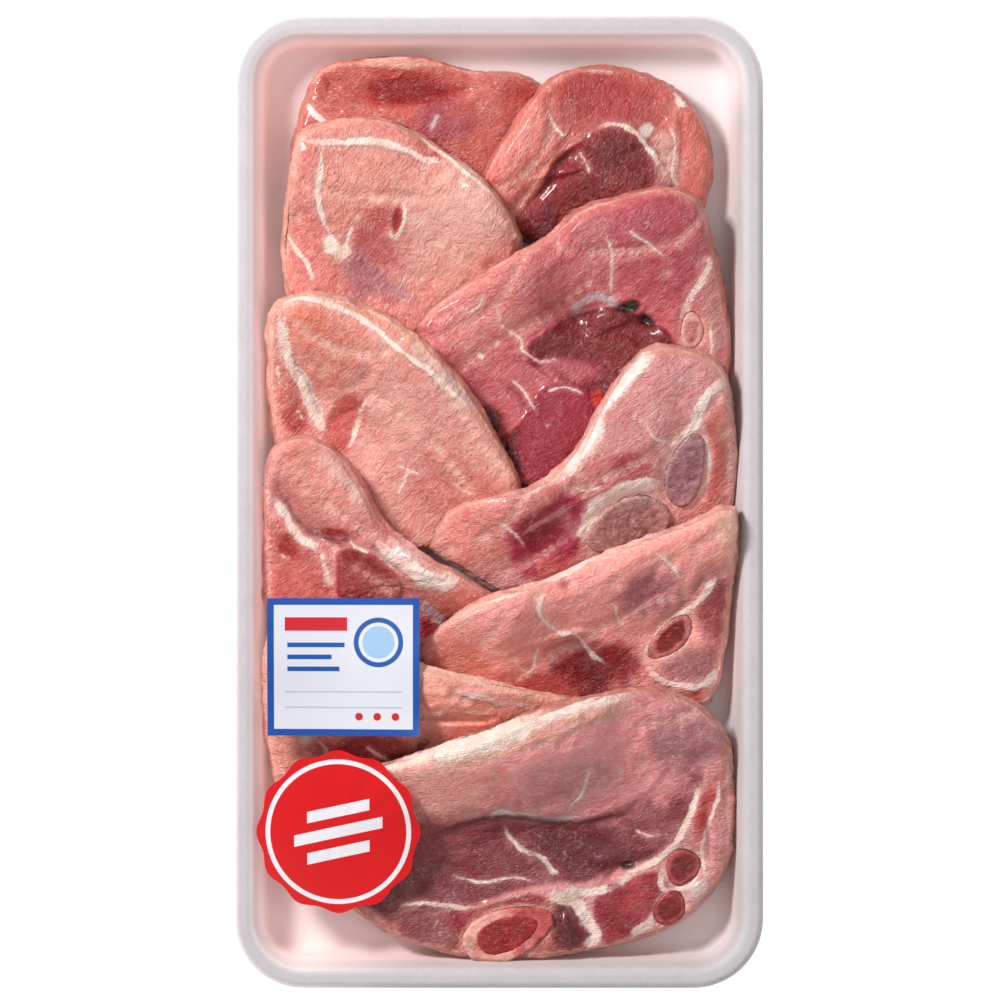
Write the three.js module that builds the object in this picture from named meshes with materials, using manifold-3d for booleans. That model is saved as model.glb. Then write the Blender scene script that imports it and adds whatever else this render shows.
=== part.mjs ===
// A family-size tray pack of bone-in pork chops: a white foam tray, ten raw chops laid in two
// columns so that each leans on the one before, their cut bones, a printed card and a sticker.
// Millimetres, +Z up. The origin is on the table under the middle of the tray; +Y is the tray's
// long direction, and the chops were laid from its far end (+Y) towards the near end (-Y).

import * as THREE from 'three';
import Module from 'manifold-3d';
import { mergeVertices } from 'three/addons/utils/BufferGeometryUtils.js';

const wasm = await Module();
wasm.setup();

// The tray: an expanded foam tray of the common 375 by 204 mm size.
const TRAY_LENGTH = 375;
const TRAY_WIDTH = 204;
const TRAY_CORNER = 27;
const TRAY_CORNER_STEPS = 7;
const FLOOR_LEVEL = 3.2;
const RIM_LEVEL = 27;

// Each pair is how far in from the tray's outer edge, and how high: under, out, round and back in.
const TRAY_MIDDLE = 60;
const TRAY_OUTSIDE = [
  [TRAY_MIDDLE, 0], [12.6, 0], [11.2, 0.8], [4.9, 19], [1.1, 21.4], [0, 23.2], [0.5, 25.7],
];
const TRAY_RIM = [[2.3, RIM_LEVEL], [5, RIM_LEVEL]];
const TRAY_INSIDE = [
  [6.9, 26], [7.8, 23.4], [11.8, 8.2], [13.4, 5], [16.6, 3.5], [21, FLOOR_LEVEL], [TRAY_MIDDLE, FLOOR_LEVEL],
];

// The chops: soft slices that bend a little over what they lie on, with a rounded cut edge.
const GAP = 0.4;
const EDGE_STEPS = 44;
const EDGE_ROUND = 2.8;
const EDGE_UNDER = 3;
const SHOULDER = 6;
const CROWN = 1.2;
const CROWN_REACH = 30;
const DENT_FADE = 5;
const PRESSED = 0.31;
const PRESSED_REACH = 14;
const PRESSED_MOST = 2;
const SLOPE_REACH = 14;
const SWELL = 0.7;
const SWELL_ACROSS = 13;
const SWELL_ALONG = 15;
const TAIL_REACH = 55;
const TAIL_THIN = 0.45;

// The rings of a slice's mesh: how far in they lie, as shares of the way to the middle line.
const MIDDLE_LINE = 0.45;
const UNDER_RINGS = [0.72, 0.36];
const FACE_RINGS = [{ share: 0.42, past: 3 }, { share: 0.62, past: 6 }, { share: 0.82, past: 9 }];

// The share of its thickness that the rounded edge has reached, from its foot to its shoulder.
const EDGE_FOOT = 0.34;
const EDGE_HALFWAY = [0.36, 0.74];
const EDGE_TOP = 0.955;

// The height fields that the chops are laid on.
const CELL = 2;
const CONTACT_REACH = 9;
const SOFT_REACH = 4.5;
const BEND_ROUNDS = 130;

// The chops in the order they were laid. Each outline runs clockwise from its left end, and each
// chop thins towards its tail, the flank end that lies on its neighbours.
// A dent is a valley in the cut face along a line: start, end, half width and depth.
const CHOPS = [
  {
    name: 'chop_01',
    thickness: 15,
    tail: [20, 150],
    outline: [
      [-81, 133], [-76, 154], [-70, 167], [-52, 172], [-32, 172.5], [-8, 167], [8, 166], [19, 159],
      [20, 140], [6, 122], [-24, 116], [-58, 117], [-77, 122],
    ],
    dents: [{ from: [-62, 160], to: [-14, 164], reach: 7, depth: 4 }],
  },
  {
    name: 'chop_02',
    thickness: 15.5,
    tail: [4, 108],
    outline: [
      [-8, 117], [-3, 133], [6, 147], [18, 162], [30, 168], [42, 169], [60, 165], [74, 156],
      [83, 138], [81, 116], [72, 101], [48, 95], [14, 98],
    ],
    dents: [
      { from: [12, 117], to: [30, 137], reach: 5, depth: 2.5 },
      { from: [60, 140], to: [66, 112], reach: 6, depth: 2.5 },
    ],
  },
  {
    name: 'chop_03',
    thickness: 15.5,
    tail: [6, 104],
    outline: [
      [-84, 108], [-81, 127], [-77, 143], [-64, 147], [-44, 148], [-30, 142], [-12, 130], [2, 116],
      [10, 99], [4, 80], [-16, 65], [-42, 56], [-66, 59], [-80, 70], [-84, 90],
    ],
    dents: [{ from: [-58, 82], to: [-36, 88], reach: 9, depth: 1.6 }],
  },
  {
    name: 'chop_04',
    thickness: 15.5,
    tail: [-30, 66],
    outline: [
      [-32, 68], [-18, 81], [0, 92], [16, 101], [28, 112], [44, 118], [64, 122], [77, 118],
      [83, 103], [88, 82], [91, 62], [88, 42], [72, 26], [46, 10], [16, 1], [0, 12], [-18, 38],
    ],
    dents: [
      { from: [26, 70], to: [54, 68], reach: 5, depth: 4 },
      { from: [4, 22], to: [40, 52], reach: 6, depth: 1.8 },
    ],
  },
  {
    name: 'chop_05',
    thickness: 15.5,
    tail: [6, -2],
    outline: [
      [-90, 58], [-88, 76], [-76, 81], [-62, 80], [-48, 75], [-32, 65], [-14, 48], [0, 26], [10, 2],
      [4, -9], [-14, -18], [-36, -20], [-58, -8], [-76, 6], [-88, 24],
    ],
    dents: [
      { from: [-83, 70], to: [-68, 28], reach: 4.5, depth: 3 },
      { from: [-64, 48], to: [-50, 24], reach: 8, depth: 1.6 },
    ],
  },
  {
    name: 'chop_06',
    thickness: 15.5,
    tail: [-26, -22],
    outline: [
      [-27, -18], [-19, -3], [-4, 2], [14, 7], [29, 21], [42, 43], [56, 60], [72, 60], [86, 53],
      [92, 34], [93, 6], [86, -12], [64, -25], [40, -35], [14, -43], [-2, -36], [-14, -28],
    ],
    dents: [
      { from: [74, 46], to: [64, 8], reach: 5, depth: 1.8 },
      { from: [14, -16], to: [30, -2], reach: 7, depth: 1.4 },
    ],
  },
  {
    name: 'chop_07',
    thickness: 15.5,
    tail: [0, -44],
    outline: [
      [-91, 6], [-87, 22], [-76, 26], [-64, 22], [-52, 8], [-42, -8], [-26, -21], [-8, -31],
      [4, -40], [-2, -52], [-20, -62], [-44, -66], [-68, -60], [-88, -56], [-92, -38], [-92, -16],
    ],
    dents: [
      { from: [-84, 2], to: [-58, -24], reach: 5, depth: 3.4 },
      { from: [-58, -26], to: [-36, -36], reach: 5, depth: 2 },
    ],
  },
  {
    name: 'chop_08',
    thickness: 15.5,
    tail: [-30, -62],
    outline: [
      [-32, -60], [-22, -46], [-4, -36], [18, -29], [38, -20], [56, -13], [74, -7], [90, 0],
      [94, -10], [91, -36], [88, -62], [82, -79], [62, -86], [36, -89], [10, -84], [-12, -78],
      [-26, -70],
    ],
    dents: [
      { from: [60, -34], to: [54, -66], reach: 7, depth: 2 },
      { from: [16, -38], to: [40, -60], reach: 5, depth: 1.4 },
    ],
  },
  {
    name: 'chop_09',
    thickness: 15.5,
    tail: [32, -82],
    outline: [
      [-92, -64], [-86, -46], [-66, -42], [-46, -50], [-30, -61], [-6, -67], [18, -73], [34, -78],
      [30, -88], [8, -97], [-14, -105], [-38, -113], [-62, -121], [-82, -118], [-91, -96],
    ],
    dents: [{ from: [-70, -94], to: [-34, -100], reach: 6, depth: 2.4 }],
  },
  {
    name: 'chop_10',
    thickness: 17,
    tail: [-72, -122],
    outline: [
      [-74, -124], [-66, -110], [-50, -102], [-30, -95], [-8, -88], [12, -80], [33, -74],
      [54, -70.5], [74, -75], [88, -88], [93, -112], [90, -140], [78, -158], [58, -169], [30, -176],
      [2, -179.5], [-24, -175], [-46, -166], [-64, -150],
    ],
    dents: [
      { from: [-24, -134], to: [50, -120], reach: 5, depth: 2.6 },
      { from: [32, -150], to: [38, -172], reach: 5, depth: 2.4 },
    ],
  },
];

// The cut bones and gristle. Each runs right through its chop: middle, length, width and turn in
// degrees. A bone with marrow is a ring with the soft marrow as a piece of its own inside.
const BONES = [
  { name: 'bone_04', chop: 'chop_04', at: [74.5, 65.5], length: 13, width: 7.5, turn: 80 },
  { name: 'gristle_06', chop: 'chop_06', at: [72, 11.5], length: 26, width: 13.5, turn: 72 },
  { name: 'bone_06', chop: 'chop_06', at: [50, -9], length: 31, width: 19, turn: 24 },
  { name: 'bone_08', chop: 'chop_08', at: [66.5, -52.5], length: 20, width: 9.5, turn: 48 },
  { name: 'bone_10', chop: 'chop_10', at: [3, -167], length: 37, width: 17.5, turn: 24, marrow: 0.68 },
  { name: 'rib_10a', chop: 'chop_10', at: [71, -141], length: 14, width: 11, turn: 50 },
  { name: 'rib_10b', chop: 'chop_10', at: [66, -157], length: 13, width: 10, turn: 40 },
];
const BONE_STEPS = 18;
const BONE_WOBBLE = 0.07;
const PRISM_BOTTOM = -5;
const PRISM_HEIGHT = 100;

// The printed card and the round sticker, both of stiff coated paper.
const CARD = { centre: [-59.4, -63.6], width: 58.5, height: 52.8, thickness: 0.6, sideSteps: 7 };
const STICKER = { centre: [-61.5, -127], radius: 31.6, scallop: 1.6, scallops: 12, thickness: 0.6 };
const PAPER_GAP = 0.5;
const PAPER_BEND_ROUNDS = 220;
const PAPER_RINGS = [0.33, 0.66];

const LOOKS = {
  tray: { color: 0xefedec, roughness: 0.7 },
  meat: { color: 0xc87a70, roughness: 0.35 },
  bone: { color: 0xd9b8a6, roughness: 0.5 },
  gristle: { color: 0xb08590, roughness: 0.4 },
  marrow: { color: 0xb02a2e, roughness: 0.4 },
  card: { color: 0xe6e7ee, roughness: 0.4 },
  sticker: { color: 0xe02428, roughness: 0.35 },
};

const clamp = (value, low, high) => Math.min(high, Math.max(low, value));
const blend = (a, b, share) => a + (b - a) * share;

function smoothStep(value) {
  const share = clamp(value, 0, 1);
  return share * share * (3 - 2 * share);
}

// Reads a curve given as pairs, such as a profile, at one value.
function along(pairs, value) {
  for (let i = 1; i < pairs.length; i += 1) {
    const [x0, y0] = pairs[i - 1];
    const [x1, y1] = pairs[i];
    if (value <= x1) return blend(y0, y1, clamp((value - x0) / (x1 - x0), 0, 1));
  }
  return pairs[pairs.length - 1][1];
}

// A closed body from rings of equal count that run from under its middle, out, up and back in
// over its middle. The first and the last ring are closed by a fan round a middle point.
function bodyFromRings(rings, underMiddle, overMiddle) {
  const count = rings[0].length;
  const points = [underMiddle, ...rings.flat(), overMiddle];
  const faces = [];
  const over = points.length - 1;
  const at = (ring, step) => 1 + ring * count + (step % count);
  for (let step = 0; step < count; step += 1) {
    faces.push(0, at(0, step + 1), at(0, step));
    for (let ring = 0; ring + 1 < rings.length; ring += 1) {
      const corners = [at(ring, step), at(ring, step + 1), at(ring + 1, step + 1), at(ring + 1, step)];
      faces.push(corners[0], corners[1], corners[2], corners[0], corners[2], corners[3]);
    }
    faces.push(over, at(rings.length - 1, step), at(rings.length - 1, step + 1));
  }
  const geometry = new THREE.BufferGeometry();
  const numbers = points.flatMap((p) => [p.x, p.y, p.z]);
  geometry.setAttribute('position', new THREE.Float32BufferAttribute(numbers, 3));
  geometry.setIndex(faces);
  return geometry;
}

function makeMesh(name, geometry, look) {
  const { color, roughness } = look;
  const material = new THREE.MeshStandardMaterial({ color, roughness, metalness: 0 });
  geometry.computeVertexNormals();
  const mesh = new THREE.Mesh(geometry, material);
  mesh.name = name;
  return mesh;
}

// Joining and cutting.
function toSolid(geometry) {
  const bare = geometry.clone();
  bare.deleteAttribute('normal');
  bare.deleteAttribute('uv');
  const merged = mergeVertices(bare, 1e-4);
  return new wasm.Manifold(new wasm.Mesh({
    numProp: 3,
    vertProperties: new Float32Array(merged.attributes.position.array),
    triVerts: new Uint32Array(merged.index.array),
  }));
}

function toGeometry(solid) {
  const { vertProperties, triVerts } = solid.getMesh();
  const geometry = new THREE.BufferGeometry();
  geometry.setAttribute('position', new THREE.BufferAttribute(new Float32Array(vertProperties), 3));
  geometry.setIndex(new THREE.BufferAttribute(new Uint32Array(triVerts), 1));
  return geometry;
}

// The tray
function roundedRing(inset, level) {
  const radius = Math.max(TRAY_CORNER - inset, 1);
  const ring = [];
  const middles = [[1, -1], [1, 1], [-1, 1], [-1, -1]];
  middles.forEach(([sideX, sideY], corner) => {
    for (let step = 0; step < TRAY_CORNER_STEPS; step += 1) {
      const angle = ((corner - 1) + step / (TRAY_CORNER_STEPS - 1)) * Math.PI / 2;
      const x = sideX * (TRAY_WIDTH / 2 - inset - radius) + radius * Math.cos(angle);
      const y = sideY * (TRAY_LENGTH / 2 - inset - radius) + radius * Math.sin(angle);
      ring.push(new THREE.Vector3(x, y, level));
    }
  });
  return ring;
}

function makeTray() {
  const profile = [...TRAY_OUTSIDE, ...TRAY_RIM, ...TRAY_INSIDE];
  const rings = profile.map(([inset, level]) => roundedRing(inset, level));
  return bodyFromRings(rings, new THREE.Vector3(0, 0, 0), new THREE.Vector3(0, 0, FLOOR_LEVEL));
}

// How far in the tray's inner wall stands at one height.
function wallInset(level) {
  const upward = TRAY_INSIDE.map(([inset, height]) => [height, inset]).reverse();
  return level >= RIM_LEVEL ? 0 : along(upward, level);
}

// Moves a point back inside the tray's wall at its height.
function keepInside(point, margin) {
  const inset = wallInset(point.z) + margin;
  const radius = TRAY_CORNER - Math.min(inset, TRAY_CORNER - 4);
  const overX = Math.abs(point.x) - (TRAY_WIDTH / 2 - inset - radius);
  const overY = Math.abs(point.y) - (TRAY_LENGTH / 2 - inset - radius);
  if (overX > 0 && overY > 0) {
    const reach = Math.hypot(overX, overY);
    const share = Math.min(1, radius / reach);
    point.x -= Math.sign(point.x) * overX * (1 - share);
    point.y -= Math.sign(point.y) * overY * (1 - share);
    return point;
  }
  point.x = clamp(point.x, -(TRAY_WIDTH / 2 - inset), TRAY_WIDTH / 2 - inset);
  point.y = clamp(point.y, -(TRAY_LENGTH / 2 - inset), TRAY_LENGTH / 2 - inset);
  return point;
}

// A field of heights over the tray, one for each cell.
const COLUMNS = Math.round(TRAY_WIDTH / CELL) + 1;
const ROWS = Math.round(TRAY_LENGTH / CELL) + 1;
const cellX = (index) => ((index % COLUMNS) - (COLUMNS - 1) / 2) * CELL;
const cellY = (index) => (Math.floor(index / COLUMNS) - (ROWS - 1) / 2) * CELL;

function newField(level) {
  return new Float32Array(COLUMNS * ROWS).fill(level);
}

function readField(field, x, y) {
  const column = clamp(x / CELL + (COLUMNS - 1) / 2, 0, COLUMNS - 1.001);
  const row = clamp(y / CELL + (ROWS - 1) / 2, 0, ROWS - 1.001);
  const base = Math.floor(row) * COLUMNS + Math.floor(column);
  const shareX = column - Math.floor(column);
  const near = blend(field[base], field[base + 1], shareX);
  const far = blend(field[base + COLUMNS], field[base + COLUMNS + 1], shareX);
  return blend(near, far, row - Math.floor(row));
}

// The highest value within reach of each cell.
function raiseWithin(field, reach) {
  const raised = new Float32Array(field);
  const cells = Math.ceil(reach / CELL);
  for (let row = 0; row < ROWS; row += 1) {
    for (let column = 0; column < COLUMNS; column += 1) {
      let highest = -Infinity;
      for (let dy = -cells; dy <= cells; dy += 1) {
        for (let dx = -cells; dx <= cells; dx += 1) {
          if (Math.hypot(dx, dy) * CELL > reach + 0.01) continue;
          const other = clamp(row + dy, 0, ROWS - 1) * COLUMNS + clamp(column + dx, 0, COLUMNS - 1);
          highest = Math.max(highest, field[other]);
        }
      }
      raised[row * COLUMNS + column] = highest;
    }
  }
  return raised;
}

// The mean value within reach of each cell.
function softenWithin(field, reach) {
  const soft = new Float32Array(field);
  const cells = Math.ceil(reach / CELL);
  for (let row = 0; row < ROWS; row += 1) {
    for (let column = 0; column < COLUMNS; column += 1) {
      let sum = 0;
      let count = 0;
      for (let dy = -cells; dy <= cells; dy += 1) {
        for (let dx = -cells; dx <= cells; dx += 1) {
          if (Math.hypot(dx, dy) * CELL > reach + 0.01) continue;
          sum += field[clamp(row + dy, 0, ROWS - 1) * COLUMNS + clamp(column + dx, 0, COLUMNS - 1)];
          count += 1;
        }
      }
      soft[row * COLUMNS + column] = sum / count;
    }
  }
  return soft;
}

// Lets a slice sag between what holds it up: each cell takes its neighbours' mean, but never
// goes below its own support.
function bendOver(support, inside, rounds) {
  let heights = new Float32Array(support);
  const cells = [];
  inside.forEach((depth, index) => {
    if (depth > -2 * CELL) cells.push(index);
  });
  const held = new Set(cells);
  for (let round = 0; round < rounds; round += 1) {
    const next = new Float32Array(heights);
    for (const index of cells) {
      let sum = 0;
      let count = 0;
      for (const other of [index - 1, index + 1, index - COLUMNS, index + COLUMNS]) {
        if (held.has(other)) {
          sum += heights[other];
          count += 1;
        }
      }
      next[index] = count ? Math.max(support[index], sum / count) : support[index];
    }
    heights = next;
  }
  return heights;
}

// Outlines
function smoothOutline(points, steps) {
  const corners = points.map(([x, y]) => new THREE.Vector3(x, y, 0));
  const curve = new THREE.CatmullRomCurve3(corners, true, 'centripetal');
  const ring = curve.getSpacedPoints(steps).slice(0, steps);
  return THREE.ShapeUtils.isClockWise(ring) ? ring.reverse() : ring;
}

function distanceToSegment(x, y, a, b) {
  const run = (b.x - a.x) ** 2 + (b.y - a.y) ** 2;
  const share = run ? clamp(((x - a.x) * (b.x - a.x) + (y - a.y) * (b.y - a.y)) / run, 0, 1) : 0;
  return Math.hypot(x - blend(a.x, b.x, share), y - blend(a.y, b.y, share));
}

// How deep each cell lies inside an outline, less than 0 outside it.
function depthInside(ring) {
  const depth = newField(0);
  for (let index = 0; index < depth.length; index += 1) {
    const x = cellX(index);
    const y = cellY(index);
    let nearest = Infinity;
    let inside = false;
    ring.forEach((a, i) => {
      const b = ring[(i + 1) % ring.length];
      nearest = Math.min(nearest, distanceToSegment(x, y, a, b));
      if ((a.y > y) !== (b.y > y) && x < a.x + ((y - a.y) / (b.y - a.y)) * (b.x - a.x)) inside = !inside;
    });
    depth[index] = inside ? nearest : -nearest;
  }
  return depth;
}

// The middle of an outline and the direction of its length.
function lengthwise(ring) {
  const middle = ring.reduce((sum, p) => sum.add(p), new THREE.Vector3()).divideScalar(ring.length);
  let xx = 0;
  let xy = 0;
  let yy = 0;
  ring.forEach((p) => {
    xx += (p.x - middle.x) ** 2;
    xy += (p.x - middle.x) * (p.y - middle.y);
    yy += (p.y - middle.y) ** 2;
  });
  const angle = 0.5 * Math.atan2(2 * xy, xx - yy);
  return { middle, direction: new THREE.Vector3(Math.cos(angle), Math.sin(angle), 0) };
}

// Where a slice's rings head for: a short line along the slice, so that long slices keep even rings.
function ringTargets(ring) {
  const { middle, direction } = lengthwise(ring);
  return ring.map((p) => {
    const run = p.clone().sub(middle).dot(direction);
    return middle.clone().addScaledVector(direction, MIDDLE_LINE * run);
  });
}

// The share of its thickness that a slice has reached at a distance in from its edge.
function edgeProfile(bevel) {
  const halfway = [EDGE_HALFWAY[0] * bevel, EDGE_HALFWAY[1]];
  return [[0, EDGE_FOOT], halfway, [bevel, EDGE_TOP], [bevel + SHOULDER, 1]];
}

function dentDepth(dents, x, y) {
  return dents.reduce((sum, dent) => {
    const a = new THREE.Vector3(...dent.from, 0);
    const b = new THREE.Vector3(...dent.to, 0);
    const distance = distanceToSegment(x, y, a, b);
    return sum + dent.depth * Math.exp(-((distance / dent.reach) ** 2));
  }, 0);
}

// A chop lies on its support, its side square to its face: where the chop rises towards its edge,
// the side turns up and the edge of the face steps back from the outline.
function layChop(chop, order, support, coverAt) {
  const ring = smoothOutline(chop.outline, EDGE_STEPS);
  const fine = smoothOutline(chop.outline, 2 * EDGE_STEPS);
  const inside = depthInside(fine);
  const under = softenWithin(bendOver(raiseWithin(support, CONTACT_REACH), inside, BEND_ROUNDS), SOFT_REACH);
  const targets = ringTargets(ring);
  const thicknessAt = (x, y) => {
    const swell = SWELL * Math.sin(x / SWELL_ACROSS + order * 1.7) * Math.sin(y / SWELL_ALONG + order * 2.3);
    const tail = smoothStep(1 - Math.hypot(x - chop.tail[0], y - chop.tail[1]) / TAIL_REACH);
    return (chop.thickness + swell) * (1 - PRESSED * coverAt(x, y)) * (1 - TAIL_THIN * tail);
  };
  const bevels = ring.map((p, i) => {
    const inward = targets[i].clone().sub(p).normalize();
    const further = p.clone().addScaledVector(inward, SLOPE_REACH);
    const rise = readField(under, p.x, p.y) - readField(under, further.x, further.y);
    const slope = Math.max(0, rise / SLOPE_REACH);
    return EDGE_ROUND + thicknessAt(p.x, p.y) * slope / Math.hypot(1, slope);
  });
  const bevelAt = (x, y) => {
    let best = 0;
    ring.forEach((p, i) => {
      if (Math.hypot(p.x - x, p.y - y) < Math.hypot(ring[best].x - x, ring[best].y - y)) best = i;
    });
    return bevels[best];
  };
  const faceHeight = (x, y, depth, share) => {
    const crown = CROWN * smoothStep(depth / CROWN_REACH);
    const dent = dentDepth(chop.dents, x, y) * smoothStep(depth / DENT_FADE);
    return readField(under, x, y) + GAP + thicknessAt(x, y) * share + crown - dent;
  };
  const ringAt = (inset, place) => ring.map((p, i) => {
    const away = targets[i].clone().sub(p);
    const depth = inset(i, away.length());
    const point = p.clone().addScaledVector(away.normalize(), depth);
    point.z = place(point, i, depth);
    return keepInside(point, GAP);
  });
  const underside = (point) => readField(under, point.x, point.y) + GAP;
  const shares = (point, i, depth) => along(edgeProfile(bevels[i]), depth);
  const onTop = (point, i, depth) => faceHeight(point.x, point.y, depth, shares(point, i, depth));
  const rings = [
    ...UNDER_RINGS.map((share) => ringAt((i, run) => share * run, underside)),
    ringAt(() => EDGE_UNDER, underside),
    ringAt(() => 0, onTop),
    ringAt((i) => EDGE_HALFWAY[0] * bevels[i], onTop),
    ringAt((i) => bevels[i], onTop),
    ringAt((i) => bevels[i] + SHOULDER, onTop),
    ...FACE_RINGS.map(({ share, past }) => (
      ringAt((i, run) => Math.max(share * run, bevels[i] + SHOULDER + past), onTop)
    )),
  ];
  const { middle } = lengthwise(ring);
  const underMiddle = middle.clone().setZ(underside(middle));
  const overMiddle = middle.clone().setZ(faceHeight(middle.x, middle.y, CROWN_REACH, 1));
  const geometry = bodyFromRings(rings, underMiddle, overMiddle);
  const raised = new Float32Array(support);
  inside.forEach((depth, index) => {
    if (depth < -0.5) return;
    const x = cellX(index);
    const y = cellY(index);
    const share = along(edgeProfile(bevelAt(x, y)), Math.max(depth, 0));
    raised[index] = Math.max(raised[index], faceHeight(x, y, Math.max(depth, 0), share));
  });
  return { geometry, raised };
}

// The heap, laid chop by chop. A chop is pressed a little thinner where others lie on it.
function layHeap() {
  const outlines = CHOPS.map((chop) => depthInside(smoothOutline(chop.outline, EDGE_STEPS)));
  let support = newField(FLOOR_LEVEL);
  const solids = new Map();
  CHOPS.forEach((chop, order) => {
    const later = outlines.slice(order + 1);
    const coverAt = (x, y) => {
      const covers = later.map((field) => smoothStep(readField(field, x, y) / PRESSED_REACH));
      return Math.min(PRESSED_MOST, covers.reduce((sum, cover) => sum + cover, 0));
    };
    const { geometry, raised } = layChop(chop, order, support, coverAt);
    solids.set(chop.name, toSolid(geometry));
    support = raised;
  });
  return { solids, support };
}

// A bone's outline: an oval with a few soft corners, drawn as a prism through the whole heap.
function bonePrism(bone, order, scale, grow) {
  const shape = new THREE.Shape();
  for (let step = 0; step < BONE_STEPS; step += 1) {
    const angle = (step / BONE_STEPS) * 2 * Math.PI;
    const wobble = 1 + BONE_WOBBLE * (Math.sin(2 * angle + order) + Math.sin(3 * angle + 2 * order));
    const x = Math.cos(angle) * (scale * wobble * bone.length / 2 + grow);
    const y = Math.sin(angle) * (scale * wobble * bone.width / 2 + grow);
    if (step === 0) shape.moveTo(x, y);
    else shape.lineTo(x, y);
  }
  const prism = new THREE.ExtrudeGeometry(shape, { depth: PRISM_HEIGHT, bevelEnabled: false, steps: 1 });
  prism.rotateZ(THREE.MathUtils.degToRad(bone.turn));
  prism.translate(bone.at[0], bone.at[1], PRISM_BOTTOM);
  return toSolid(prism);
}

function cutBones(solids) {
  const meshes = [];
  BONES.forEach((bone, order) => {
    const whole = solids.get(bone.chop);
    solids.set(bone.chop, whole.subtract(bonePrism(bone, order, 1, GAP)));
    let piece = whole.intersect(bonePrism(bone, order, 1, 0));
    if (bone.marrow) {
      const marrow = piece.intersect(bonePrism(bone, order, bone.marrow, 0));
      piece = piece.subtract(bonePrism(bone, order, bone.marrow, GAP));
      meshes.push(makeMesh(bone.name.replace('bone', 'marrow'), toGeometry(marrow), LOOKS.marrow));
    }
    const look = bone.name.startsWith('gristle') ? LOOKS.gristle : LOOKS.bone;
    meshes.push(makeMesh(bone.name, toGeometry(piece), look));
  });
  return meshes;
}

// Paper lies on the heap as a thin plate that spans its hollows.
function layPaper(ring, thickness, support) {
  const inside = depthInside(ring);
  const under = bendOver(raiseWithin(support, CONTACT_REACH), inside, PAPER_BEND_ROUNDS);
  const { middle } = lengthwise(ring);
  const ringAt = (share, lift) => ring.map((p) => {
    const point = p.clone().lerp(middle, share);
    point.z = readField(under, point.x, point.y) + PAPER_GAP + lift;
    return point;
  });
  const centreAt = (lift) => middle.clone().setZ(readField(under, middle.x, middle.y) + PAPER_GAP + lift);
  const inward = [0, ...PAPER_RINGS];
  const rings = [
    ...inward.map((share) => ringAt(share, 0)).reverse(),
    ...inward.map((share) => ringAt(share, thickness)),
  ];
  const raised = new Float32Array(support);
  inside.forEach((depth, index) => {
    if (depth > -CELL) raised[index] = Math.max(raised[index], under[index] + PAPER_GAP + thickness);
  });
  return { geometry: bodyFromRings(rings, centreAt(0), centreAt(thickness)), raised };
}

function cardOutline() {
  const corners = [[-1, -1], [1, -1], [1, 1], [-1, 1]].map(([x, y]) => new THREE.Vector3(
    CARD.centre[0] + x * CARD.width / 2,
    CARD.centre[1] + y * CARD.height / 2,
    0,
  ));
  return corners.flatMap((corner, i) => Array.from({ length: CARD.sideSteps }, (_, step) => (
    corner.clone().lerp(corners[(i + 1) % 4], step / CARD.sideSteps)
  )));
}

function stickerOutline() {
  const steps = 3 * STICKER.scallops;
  return Array.from({ length: steps }, (_, step) => {
    const angle = (step / steps) * 2 * Math.PI;
    const radius = STICKER.radius - STICKER.scallop * (1 - Math.cos(STICKER.scallops * angle)) / 2;
    const x = STICKER.centre[0] + radius * Math.cos(angle);
    const y = STICKER.centre[1] + radius * Math.sin(angle);
    return new THREE.Vector3(x, y, 0);
  });
}

// The rim counts as support for the sticker, which leans on it.
function addRim(support) {
  const field = new Float32Array(support);
  field.forEach((height, index) => {
    const edge = Math.min(TRAY_WIDTH / 2 - Math.abs(cellX(index)), TRAY_LENGTH / 2 - Math.abs(cellY(index)));
    if (edge < wallInset(RIM_LEVEL - 1)) field[index] = Math.max(height, RIM_LEVEL);
  });
  return field;
}

const { solids, support } = layHeap();
const bones = cutBones(solids);
const card = layPaper(cardOutline(), CARD.thickness, addRim(support));
const sticker = layPaper(stickerOutline(), STICKER.thickness, addRim(card.raised));

const chops = new THREE.Group();
solids.forEach((solid, name) => chops.add(makeMesh(name, toGeometry(solid), LOOKS.meat)));
chops.add(...bones);

const print = new THREE.Group();
print.add(makeMesh('label_card', card.geometry, LOOKS.card));
print.add(makeMesh('label_sticker', sticker.geometry, LOOKS.sticker));

const pack = new THREE.Group();
pack.add(makeMesh('tray', makeTray(), LOOKS.tray));
pack.add(chops, print);

export default pack;
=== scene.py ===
# %% [markdown]
# # A tray pack of bone-in pork chops
# Ten raw chops lie in two columns on a white foam tray, each leaning on the one before. The packed
# CAD part is the frame: every piece here is made from, or round, one of its nodes. The meat is the
# heart of the look, so most of the cells are about its faces: smooth wet cuts in pinks and reds,
# with cream fat, white seams, creases and bones.

import math

import bmesh
import bpy
import numpy as np
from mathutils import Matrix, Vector
from mathutils.bvhtree import BVHTree
from mathutils.kdtree import KDTree


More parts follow.
